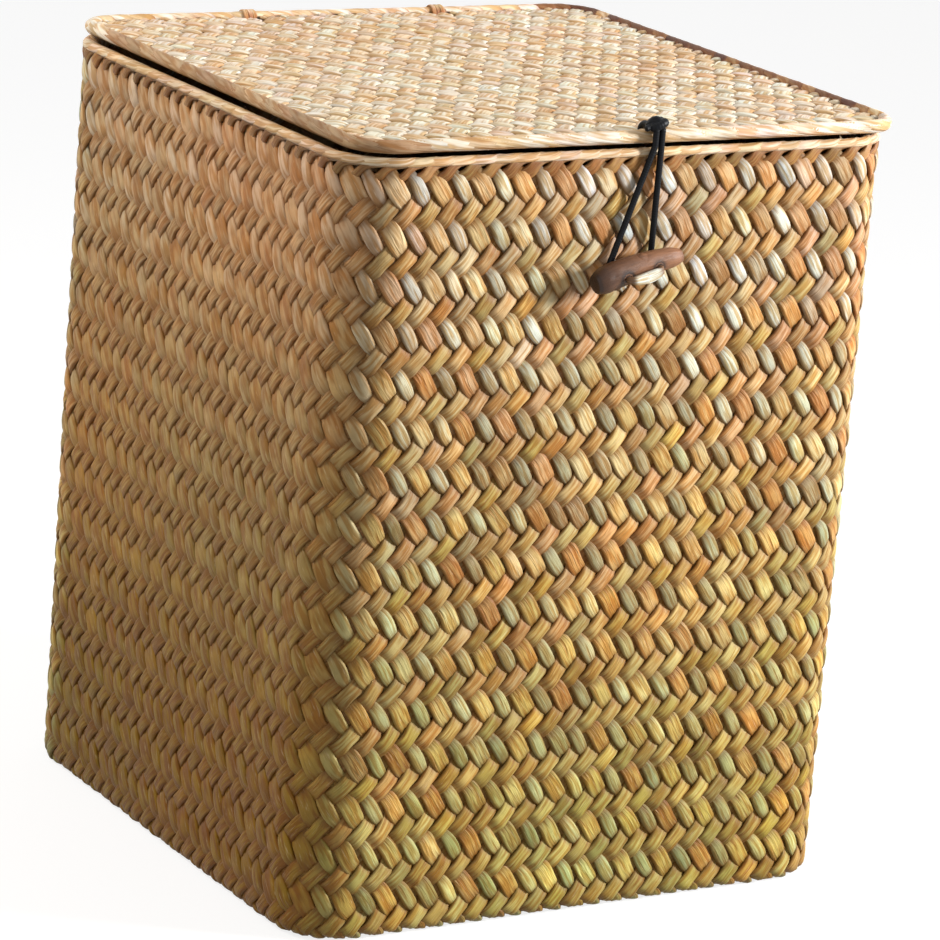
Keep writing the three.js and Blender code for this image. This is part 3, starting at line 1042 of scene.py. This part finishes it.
class Turnover:
    """Strands that rise on the slant, then run along an edge, each over the next, and end out of sight."""

    def __init__(self, surface, pitch, seed, tones):
        self.surface = surface
        self.pitch = pitch
        self.rng = np.random.default_rng(seed)
        self.tones = tones_of(tones)

    def strand(self, tubes, number, route, width_jitter, start_tone, start_shares, tones=None):
        """`route` is a list of (around, along, lift, half width, thickness, dive shade) for a smooth line;
        dive shade is painted shade.

        The strand has `start_tone` at first, and turns to its own tone between two shares of its length.
        """
        rng = self.rng
        route = np.array(route, float)
        lengths = lengths_along(route[:, :2])
        even = np.linspace(0, lengths[-1], int(lengths[-1] / edge_ring_step))
        smooth = [smooth_through(lengths, values, even) for values in route.T]
        around, along, lift, half_width, thickness, dive_shade = smooth
        wide = 1 + width_jitter * rng.uniform(-1, 1)
        closing = closing_ends(len(even))
        uneven, rise = slow_noise(rng, len(even), edge_noise_rings, 2).T
        rings = strand_rings(
            self.surface,
            around + number * self.pitch,
            along,
            lift + edge_strand_rise * rise,
            half_width * closing * wide * (1 + edge_jitter_share * uneven),
            thickness * closing,
            folded_section(rng, len(even), edge_fold_depth),
        )
        own = pick(rng, self.tones if tones is None else tones)
        share = smooth_step(even / lengths[-1], *start_shares)[:, None]
        tint = (start_tone * (1 - share) + own * share) * (1 + edge_tone_jitter * rng.normal())
        start = rng.uniform(0, texture_span)
        ridged = rng.uniform(*edge_creases)
        tubes.add(rings, leaf_values(tint, even + start, ridged, np.clip(dive_shade, 0, 1)))


def smooth_step(value, low, high):
    share = np.clip((value - low) / (high - low), 0, 1)
    return share * share * (3 - 2 * share)


def smooth_through(places, values, at):
    """A smooth curve through values at places, without overshoot between them."""
    slopes = np.gradient(values, places)
    change = np.diff(values) / np.diff(places)
    before, after = np.insert(change, 0, change[0]), np.append(change, change[-1])
    limit = steepest_share * np.minimum(np.abs(after), np.abs(before))
    slopes = np.clip(slopes, -limit, limit)
    index = np.clip(np.searchsorted(places, at, side="right") - 1, 0, len(places) - 2)
    width = places[index + 1] - places[index]
    share = (at - places[index]) / width
    low, high = values[index], values[index + 1]
    return (
        low * (1 + 2 * share) * (1 - share) ** 2
        + high * share ** 2 * (3 - 2 * share)
        + width * share * (1 - share) * (slopes[index] * (1 - share) - slopes[index + 1] * share)
    )


def rim_turnover():
    """The top row's strands slant under a thin roll, lie along it, and turn over it to the inside."""
    shell = Shell(box_plan, rounded_path(
        [
            (rim_inner_inset, wall_top - rim_inner_tuck),
            (rim_inner_inset, rim_top - rim_inner_shoulder),
            (rim_outer_inset, rim_top - rim_outer_shoulder),
            (rim_outer_inset, wall_top - rim_roll_foot),
            (wall_middle, wall_top - rim_foot),
            (wall_middle, first_row_height - rim_foot),
        ],
        rim_roundings,
    ))
    weave = Turnover(shell, strand_pitch, rng_seed + 3, edge_tones)
    dull = tones_of(dull_tones)
    rise = rim_rise_share * strand_pitch
    down = shell.along_at_height
    crown = down(rim_top - rim_crown_drop) - rim_crown_lead
    tubes = Tubes()
    for number in range(strands_each_way):
        on_left = box_plan.begins[3] < number * strand_pitch
        thin = left_rim_share if on_left else 1
        extra_dive_shade = left_rim_shade if on_left else 0
        # Each point's last number is painted shade: where the strand lies under others, where it turns
        # inside, and more on the left in the lid's shadow
        route = [
            (-0.2, down(first_row_height + 0.4), -1.0, 2.9 * thin, 1.0, 1.0),
            (0.35 * rise, down(first_row_height + 3.6), -0.5, 3.0 * thin, 1.1, 0.75 + extra_dive_shade),
            (1.5 * rise, down(wall_top - 3.6), 0.55 * thin, 3.2 * thin, 1.25, 0.1 + extra_dive_shade),
            (2.3 * rise, down(wall_top - 0.6), 0.3 * thin, 2.9 * thin, 1.1, 0.5 + extra_dive_shade),
            (3.6 * rise, down(wall_top + 1.4), -0.5, 2.0, 1.0, 0.8),
            (7.5 * rise, down(wall_top + 2.2), 0.1, 1.75, 1.15, 0.1),
            (11.5 * rise, down(wall_top + 2.5), 0.6, 1.75, 1.2, 0.0),
            (14.0 * rise, crown, 0.35, 2.2, 1.1, 0.0),
            (16.0 * rise, crown - 4.0, 0.0, 2.6, 1.0, 0.4),
            (17.6 * rise, crown - 8.0, -0.3, 2.4, 0.8, 0.8),
        ]
        weave.strand(tubes, number, route, rim_width_jitter, pick(weave.rng, dull), rim_tone_shares)
    piece("rim_turnover", tubes, "seagrass_edge", "box", "rim_fold")


def lid_turnover():
    """The lid's edge: strands come off the top on the slant, go over the wire and lie along the edge."""
    radius = lid_roll_radius - lid_edge_gap - lid_strand_depth
    start = math.radians(lid_edge_start)
    turns = np.linspace(-start, 2 * math.pi - start, edge_outline_steps)
    outline = (lid_roll_radius, lid_axis_height + lid_edge_rise) + radius * on_circle(turns)
    count = int(round(lid_plan.length / lid_strand_pitch))
    shell = Shell(lid_plan, outline, lid_lean)
    weave = Turnover(shell, lid_plan.length / count, rng_seed + 4, cream_tones + edge_tones)
    brown, dull, under = (tones_of(codes) for codes in (brown_tones, dull_edge_tones, under_edge_tones))

    def over(degrees):
        return radius * (math.radians(degrees) + start)

    tubes = Tubes()
    for number in range(count):
        narrow = weave.rng.random() < narrow_edge_chance
        wide = narrow_edge_half_width if narrow else wide_edge_half_width
        extra_dive_shade = narrow_edge_dive if narrow else 0.0
        place = number * weave.pitch
        on_right = lid_plan.begins[1] < place < lid_plan.ends[1]
        on_left = lid_plan.begins[3] < place
        browned = on_right and weave.rng.random() < brown_edge_chance
        tones = brown if browned else dull if on_left else None
        # Each point's last number is painted shade: where the strand comes from under the mat, and on the
        # roll's outer side and underside
        route = [
            (0.0, over(-5), -0.4, 3.2, 0.7, 0.9),
            (2.0, over(35), 0.15, wide, 0.85, 0.2 + extra_dive_shade),
            (6.0, over(80), 0.35, wide, 1.0, 0.0),
            (14.0, over(125), 0.35, 3.4, 1.0, 0.0),
            (26.0, over(160), 0.20, 3.0, 1.0, 0.0),
            (38.0, over(190), 0.0, 2.9, 1.0, 0.35),
            (48.0, over(230), -0.1, 2.8, 0.9, 0.8),
            (58.0, over(285), -0.3, 2.8, 0.8, 1.0),
        ]
        start_tone = pick(weave.rng, under)
        weave.strand(tubes, number, route, lid_width_jitter, start_tone, lid_tone_shares, tones)
    piece("lid_edge_turnover", tubes, "seagrass_lid", "lid", "lid_edge_roll")


def lid_mat():
    holes = []
    for side in ("left", "right"):
        low, high = corners_of(f"hinge_tie_{side}")
        near = (low[0] - tie_window_side, low[1] - tie_window_back)
        holes.append((near, (high[0] + tie_window_side, high[1] + tie_window_front)))
    mat(
        "lid_strands", lid_plan, lid_mat_inset, (panel_low[2] + panel_high[2]) / 2, lid_strand_pitch,
        lid_row_height, (cream_tones, cream_tones + edge_tones, cream_tones + edge_tones), lid_variety,
        rng_seed + 5, "seagrass_lid", "lid", "lid_panel", holes,
    )


def floor_mat():
    mat(
        "floor_strands", box_plan, floor_mat_inset, wall_middle + floor_mat_rise, strand_pitch,
        floor_row_height, wall_tones, wall_variety, rng_seed + 6, "seagrass_wall", "box", "woven_body",
    )


# Wires, ties and closure


def strand_values(rings, tones, rng, ridged, dive_shade=0.0):
    """The leaf values of a strand that is swept through space, in one tone."""
    tint = pick(rng, tones)
    along = lengths_along(rings.mean(1)) + rng.uniform(0, texture_span)
    return leaf_values(tint, along, ridged, dive_shade)


def add_cord(tubes, rings, closed=False):
    values = {
        "along": lengths_along(rings.mean(1))[:, None, None],
        "around": turns_of(rings.shape[1])[:, None],
    }
    return tubes.add(rings, values, closed)


def wires():
    for node, plan, inset, body in (
        ("rim_wire", box_plan, wire_inset, "box"),
        ("base_wire", box_plan, wire_inset, "box"),
        ("lid_wire", lid_plan, lid_roll_radius, "lid"),
    ):
        point, normal = plan.at(np.linspace(0, plan.length, ring_wire_rings, endpoint=False))
        height = np.full((len(point), 1), middle_of(node)[2])
        path = np.concatenate([point - inset * normal, height], -1)
        rings = sweep(path, wire_radius, wire_radius, (0, 0, 1), closed=True)
        piece(f"{node}_iron", Tubes().add(rings, closed=True), "iron_wire", body, node)
    for side in ("front_left", "front_right", "back_left", "back_right"):
        node = f"corner_wire_{side}"
        low, high = corners_of(node)
        x, y = middle_of(node)[:2]
        path = np.linspace((x, y, low[2]), (x, y, high[2]), corner_wire_rings)
        rings = sweep(path, wire_radius, wire_radius, (1, 0, 0))
        piece(f"{node}_iron", Tubes().add(rings), "iron_wire", "box", node)


def hinge_ties():
    """Each tie is a few turns of strand round the rim and the lid's back edge, side by side."""
    rng = np.random.default_rng(rng_seed + 8)
    tones, pale = tones_of(tie_tones), tones_of(edge_tones)
    drop = lid_axis_height - wall_top
    lean = math.asin((tie_low_radius - tie_top_radius) / drop)
    upper = tie_top_radius * on_circle(np.linspace(lean, math.pi - lean, tie_top_rings))
    lower = tie_low_radius * on_circle(np.linspace(math.pi - lean, 2 * math.pi + lean, tie_low_rings))
    round_both = np.concatenate([upper, lower - (0, drop), upper[:1]])
    for side in ("left", "right"):
        node = f"hinge_tie_{side}"
        low, high = corners_of(node)
        middle_y = middle_of(node)[1]
        outline = np.column_stack([np.zeros(len(round_both)), round_both + (middle_y, lid_axis_height)])
        outline = even_path(outline, tie_step)[:-1]
        tubes = Tubes()
        width = (high[0] - low[0]) / tie_strands
        for turn in range(tie_strands):
            path = outline.copy()
            wobble = tie_wobble * slow_noise(rng, len(path), tie_noise_rings)[:, 0]
            path[:, 0] = low[0] + (turn + 0.5) * width + wobble
            last = path[-tie_closing_rings:, 0]
            last[:] = np.linspace(last[0], path[0, 0], tie_closing_rings)
            wide = tie_width_share * width
            rings = sweep(path, wide, tie_thickness, (1, 0, 0), section_sides, closed=True)
            values = strand_values(rings, pale, rng, tie_creases)
            browned = smooth_step(middle_y - path[:, 1], *tie_brown_ends)[:, None, None]
            values["tint"] = values["tint"] * (1 - browned) + pick(rng, tones) * browned
            tubes.add(rings, values, closed=True)
        piece(f"{node}_strands", tubes, "seagrass_edge", "box", node)


def toggle_radius(share):
    full = toggle_left_radius + (toggle_right_radius - toggle_left_radius) * share
    from_end = np.clip(np.minimum(share, 1 - share) / toggle_end_share, 0, 1)
    return full * (toggle_end_radius_share + (1 - toggle_end_radius_share) * np.sin(from_end * math.pi / 2))


loop_low, loop_high = corners_of("closure_loop")
loop_plane_y = (loop_low[1] + loop_high[1]) / 2
toggle_axis_y = loop_plane_y - cord_radius - touch_gap - toggle_left_radius


def place_on_front(points):
    """From the toggle's own axes, where it lies along X, to its tilted place on the front."""
    cos, sin = math.cos(toggle_tilt), math.sin(toggle_tilt)
    x, y, z = points[..., 0], points[..., 1], points[..., 2]
    place = (toggle_x + x * cos - z * sin, toggle_axis_y + y, toggle_height + x * sin + z * cos)
    return np.stack(place, -1)


shanks = place_on_front(np.array([
    (-stitch_spacing / 2, 0, -toggle_bore_drop),
    (stitch_spacing / 2, 0, -toggle_bore_drop),
]))


def bark_darkness(points):
    """How dark the bark is: more so towards the thick left end and at both ends, with painted shade round
    the holes.
    """
    x, z = points[..., 0], points[..., 2]
    to_left = np.clip(dark_left_share - x / toggle_length, 0, 1) ** dark_left_power
    holes = [np.hypot(x - way * stitch_spacing / 2, z + toggle_bore_drop) for way in (-1, 1)]
    beyond_hole = np.maximum(np.minimum(*holes) - toggle_bore_radius, 0)
    hole_shade = np.exp(-(beyond_hole / hole_shade_reach) ** 2)
    near_end = np.exp(-((toggle_length / 2 - np.abs(x)) / dark_end_reach) ** 2)
    shares = (to_left, hole_shade, near_end)
    darkness = sum(strength * share for strength, share in zip(dark_strengths, shares))
    return np.clip(darkness, 0, darkest_bark)


def toggle():
    """A length of twig: uneven, a little bowed, with a few old buds, rounded ends and two bores."""
    rng = np.random.default_rng(rng_seed + 9)
    share = np.linspace(0, 1, toggle_rings)
    turn = turns_of(toggle_sides)
    radius = toggle_radius(share)[:, None] * np.ones(toggle_sides)
    for waves, size in twig_waves:
        drift = slow_noise(rng, toggle_rings, twig_drift_rings)
        radius *= 1 + size * np.cos(waves * turn + rng.uniform(0, 6) + drift)
    radius *= 1 + twig_roughness_share * slow_noise(rng, toggle_rings, twig_roughness_rings)
    for bud_share, bud_turn in twig_buds:
        aside = np.angle(np.exp(1j * (turn - bud_turn))) / bud_half_turn
        far = ((share - bud_share) / bud_length_share)[:, None] ** 2 + aside ** 2
        dip = bud_dip_share * np.exp(-(far - bud_dip_place) ** 2)
        radius *= 1 + bud_rise_share * np.exp(-far) - dip
    x = (share - 0.5) * toggle_length
    bow = toggle_bow * (1 - (2 * share - 1) ** 2) * 2 - toggle_bow
    rings = np.stack([
        np.broadcast_to(x[:, None], radius.shape),
        radius * np.cos(turn),
        bow[:, None] / 2 + radius * np.sin(turn),
    ], -1)
    middles = np.stack([x, 0 * x, bow / 2], -1)

    def tip(at, way, share):
        """A smaller copy of the ring at one end, a little further out."""
        return rings[at] * share + middles[at] * (1 - share) + (way * (1 - share) * tip_reach, 0, 0)

    left_tips = [tip(0, -1, share) for share in tip_shares]
    right_tips = [tip(-1, 1, share) for share in reversed(tip_shares)]
    full = np.stack([*left_tips, *rings, *right_tips])
    tube = Tubes().add(place_on_front(full), {
        "along": full[..., :1],
        "around": turn[:, None],
        "dark": bark_darkness(full)[..., None],
    })
    twig = piece("toggle_twig", tube, "twig_bark", "box", "toggle")
    for place in shanks:
        bore(twig, place, toggle_bore_radius)


def bore(obj, place, radius):
    """Cuts a round hole along Y through an object, at a place on the front."""
    near, far = toggle_axis_y - bore_reach, toggle_axis_y + bore_reach
    path = np.linspace((place[0], near, place[2]), (place[0], far, place[2]), bore_rings)
    tube = Tubes().add(sweep(path, radius, radius, (1, 0, 0), bore_sides))
    cutter = new_object("cutter", tube.mesh("cutter"))
    cut = obj.modifiers.new("bore", "BOOLEAN")
    cut.operation = "DIFFERENCE"
    cut.solver = "EXACT"
    cut.object = cutter
    bpy.context.view_layer.update()
    bored = obj.evaluated_get(bpy.context.evaluated_depsgraph_get())
    mesh = bpy.data.meshes.new_from_object(bored)
    obj.modifiers.remove(cut)
    obj.data = mesh
    bpy.data.objects.remove(cutter)


def toggle_stitch():
    """One strand, through the wall and the twig, over the twig's front and back through the other bore."""
    rng = np.random.default_rng(rng_seed + 10)
    half = stitch_spacing / 2
    front = -(toggle_left_radius + touch_gap + stitch_radius)
    inside = -box_depth / 2 + wall_thickness + touch_gap + stitch_radius - toggle_axis_y
    corners = [(0, front), (half, front), (half, inside), (-half, inside), (-half, front), (0, front)]
    outline = rounded_path(corners, [stitch_bend] * 4)[:-1]
    on_front = outline[:, 1] < front + stitch_bend
    swell = np.clip(np.cos(outline[:, 0] / half * math.pi / 2), 0, 1) ** stitch_swell_power * on_front
    path = np.stack([outline[:, 0], outline[:, 1], -toggle_bore_drop - stitch_sag * swell], -1)
    lean = 1 + stitch_lean_share * outline[:, 0] / half
    wide = (stitch_radius + (stitch_width / 2 - stitch_radius) * swell * lean) * stitch_width_share
    thick = stitch_radius * stitch_thickness_share
    shape = folded_section(rng, len(path), stitch_fold_depth)
    up = place_on_front(np.array([0, 0, 1.0])) - place_on_front(np.zeros(3))
    rings = sweep(place_on_front(path), wide, thick, up, section_sides, shape, True)
    # Painted shade on the stitch where it goes into the bores
    darkest = half - stitch_shade_share * stitch_shade_end
    dive_shade = smooth_step(np.abs(outline[:, 0]), half - stitch_shade_end, darkest)
    values = strand_values(rings, tones_of(stitch_tones), rng, stitch_creases, dive_shade)
    tube = Tubes().add(rings, values, closed=True)
    piece("stitch_strand", tube, "pale_strand", "box", "toggle_stitch")


def closure_loop():
    """The cord's two strands hang from the knot and pass behind the toggle, round its stitch's shanks."""
    bend = stitch_radius + touch_gap + cord_radius
    spread = cord_radius + strand_gap / 2
    top = knot_place[2] - cord_radius
    left, right = shanks[0, [0, 2]], shanks[1, [0, 2]]
    turns_left = np.linspace(math.pi, 1.5 * math.pi + toggle_tilt, bend_rings)
    turns_right = np.linspace(-math.pi / 2 + toggle_tilt, 0, bend_rings)
    outline = np.concatenate([
        [(knot_place[0] - spread, top), (knot_place[0] - spread, top - loop_joined)],
        left + bend * on_circle(turns_left),
        right + bend * on_circle(turns_right),
        [(knot_place[0] + spread, top - loop_joined), (knot_place[0] + spread, top)],
    ])
    outline = even_path(outline, cord_step)
    path = np.stack([outline[:, 0], np.full(len(outline), loop_plane_y), outline[:, 1]], -1)
    rings = sweep(path, cord_radius, cord_radius, (0, 1, 0), cord_sides)
    piece("loop_cord", add_cord(Tubes(), rings), "black_cord", "loop", "closure_loop")


def overhand(centre, reach, radius, lean):
    """A tight overhand knot, which is a trefoil of cord that nearly fills an oval."""
    t = turns_of(knot_rings)
    trefoil = (np.sin(t) + 2 * np.sin(2 * t), np.cos(t) - 2 * np.cos(2 * t), -np.sin(3 * t))
    shape = np.stack(trefoil, -1) / (3, 3, 1)
    cos, sin = math.cos(lean), math.sin(lean)
    shape = shape @ np.array([(cos, 0, sin), (0, 1, 0), (-sin, 0, cos)]).T
    shape *= (np.array(reach) - radius) / np.abs(shape).max(0)
    return sweep(centre + shape, radius, radius, None, cord_sides, closed=True)


def loop_knot():
    tubes = Tubes()
    add_cord(tubes, overhand(knot_place, knot_size / 2, knot_cord_radius, knot_lean), closed=True)
    add_cord(tubes, round_blob(knot_place, knot_size / 2 * knot_core_share))
    tail_end = knot_place + (-tail_length, -cord_radius, -cord_radius)
    tail_path = np.linspace(knot_place, tail_end, tail_rings)
    narrowing = cord_radius * np.linspace(1, tail_end_share, tail_rings)
    add_cord(tubes, sweep(tail_path, narrowing, cord_radius, None, cord_sides))
    roll_y = -lid_depth / 2 + lid_roll_radius
    stem_y = -lid_depth / 2 + stem_inset
    panel_top = panel_high[2]
    stopper_z = panel_low[2] - stopper_height / 2
    stem_points = np.array([
        knot_place,
        (knot_place[0], roll_y, lid_axis_height + lid_roll_radius + touch_gap + cord_radius),
        (knot_place[0], stem_y - stem_rise, panel_top + stem_rise),
        (knot_place[0], stem_y, panel_top),
        (knot_place[0], stem_y, stopper_z),
    ])
    lengths = lengths_along(stem_points)
    even = np.linspace(0, lengths[-1], stem_rings)
    stem_path = np.stack([smooth_through(lengths, values, even) for values in stem_points.T], -1)
    add_cord(tubes, sweep(stem_path, cord_radius, cord_radius, (1, 0, 0), cord_sides))
    stopper_place = np.array([knot_place[0], stem_y, stopper_z - touch_gap / 2])
    stopper_reach = (stopper_width / 2, stopper_width / 2, stopper_height / 2)
    add_cord(tubes, overhand(stopper_place, stopper_reach, stopper_cord_radius, 0.0), closed=True)
    piece("knot_cord", tubes, "black_cord", "lid", "loop_knot")


def round_blob(centre, reach):
    """A closed oval body, as rings about X."""
    turn = np.linspace(core_opening, math.pi - core_opening, core_rings)
    path = centre + np.stack([-np.cos(turn) * reach[0], 0 * turn, 0 * turn], -1)
    return sweep(path, np.sin(turn) * reach[1], np.sin(turn) * reach[2], (0, 1, 0), core_sides)


woven_walls()
floor_mat()
rim_turnover()
lid_turnover()
lid_mat()
wires()
hinge_ties()
toggle()
toggle_stitch()
closure_loop()
loop_knot()


# Camera, light and floor


def make_camera():
    data = bpy.data.cameras.new("camera")
    data.sensor_width = camera_sensor
    data.lens = camera_lens
    data.clip_end = camera_reach
    camera = new_object("camera", data)
    azimuth, elevation = camera_azimuth, camera_elevation
    back = Vector((
        math.sin(azimuth) * math.cos(elevation),
        -math.cos(azimuth) * math.cos(elevation),
        math.sin(elevation),
    ))
    level_right = Vector((math.cos(azimuth), math.sin(azimuth), 0))
    level_up = back.cross(level_right)
    right = math.cos(camera_roll) * level_right + math.sin(camera_roll) * level_up
    up = math.cos(camera_roll) * level_up - math.sin(camera_roll) * level_right
    turn = Matrix((right, up, back)).transposed()
    camera.matrix_world = Matrix.Translation(Vector(camera_place) * mm) @ turn.to_4x4()
    bpy.context.scene.camera = camera


def area_light(name, place, size, power, tint):
    data = bpy.data.lights.new(name, "AREA")
    data.shape = "DISK"
    data.size = size
    data.energy = power
    data.color = tint
    light = new_object(name, data)
    light.location = place
    light.rotation_euler = (Vector(lamp_target) - Vector(place)).to_track_quat("-Z", "Y").to_euler()


def shown_share(tree):
    """1 for rays that show the background: straight to the camera, in a gloss or through something clear."""
    path = tree.nodes.new("ShaderNodeLightPath")
    share = path.outputs["Is Camera Ray"]
    for output in ("Is Glossy Ray", "Is Transmission Ray"):
        largest = tree.nodes.new("ShaderNodeMath")
        largest.operation = "MAXIMUM"
        tree.links.new(share, largest.inputs[0])
        tree.links.new(path.outputs[output], largest.inputs[1])
        share = largest.outputs[0]
    return share


def make_world():
    """White where the camera sees it, and dimmer as a light on the object."""
    world = bpy.data.worlds.new("studio")
    bpy.context.scene.world = world
    world.use_nodes = True
    nodes, links = world.node_tree.nodes, world.node_tree.links
    soft, white = nodes["Background"], nodes.new("ShaderNodeBackground")
    for background, strength in ((soft, world_light), (white, 1.0)):
        background.inputs["Color"].default_value = (1, 1, 1, 1)
        background.inputs["Strength"].default_value = strength
    mix = nodes.new("ShaderNodeMixShader")
    for socket, value in zip(mix.inputs, (shown_share(world.node_tree), soft.outputs[0], white.outputs[0])):
        links.new(value, socket)
    links.new(mix.outputs[0], nodes["World Output"].inputs["Surface"])


def make_floor():
    """A pale floor that looks white to the camera but keeps the object's shadow."""
    mesh = bpy.data.meshes.new("floor")
    corners = [(x * floor_reach, y * floor_reach, 0) for x, y in ((-1, -1), (1, -1), (1, 1), (-1, 1))]
    mesh.from_pydata(corners, [], [(0, 1, 2, 3)])
    floor = new_object("floor", mesh)
    nodes = Nodes("pale_floor")
    nodes.give("Base Color", (floor_tone, floor_tone, floor_tone, 1))
    nodes.give("Roughness", 0.9)
    nodes.give("Emission Color", (1, 1, 1, 1))
    nodes.give("Emission Strength", nodes.times(shown_share(nodes.tree), floor_glow))
    mesh.materials.append(nodes.material)


make_camera()
make_world()
make_floor()
for lamp in lamps:
    area_light(*lamp)
bpy.context.scene.view_settings.view_transform = "Standard"
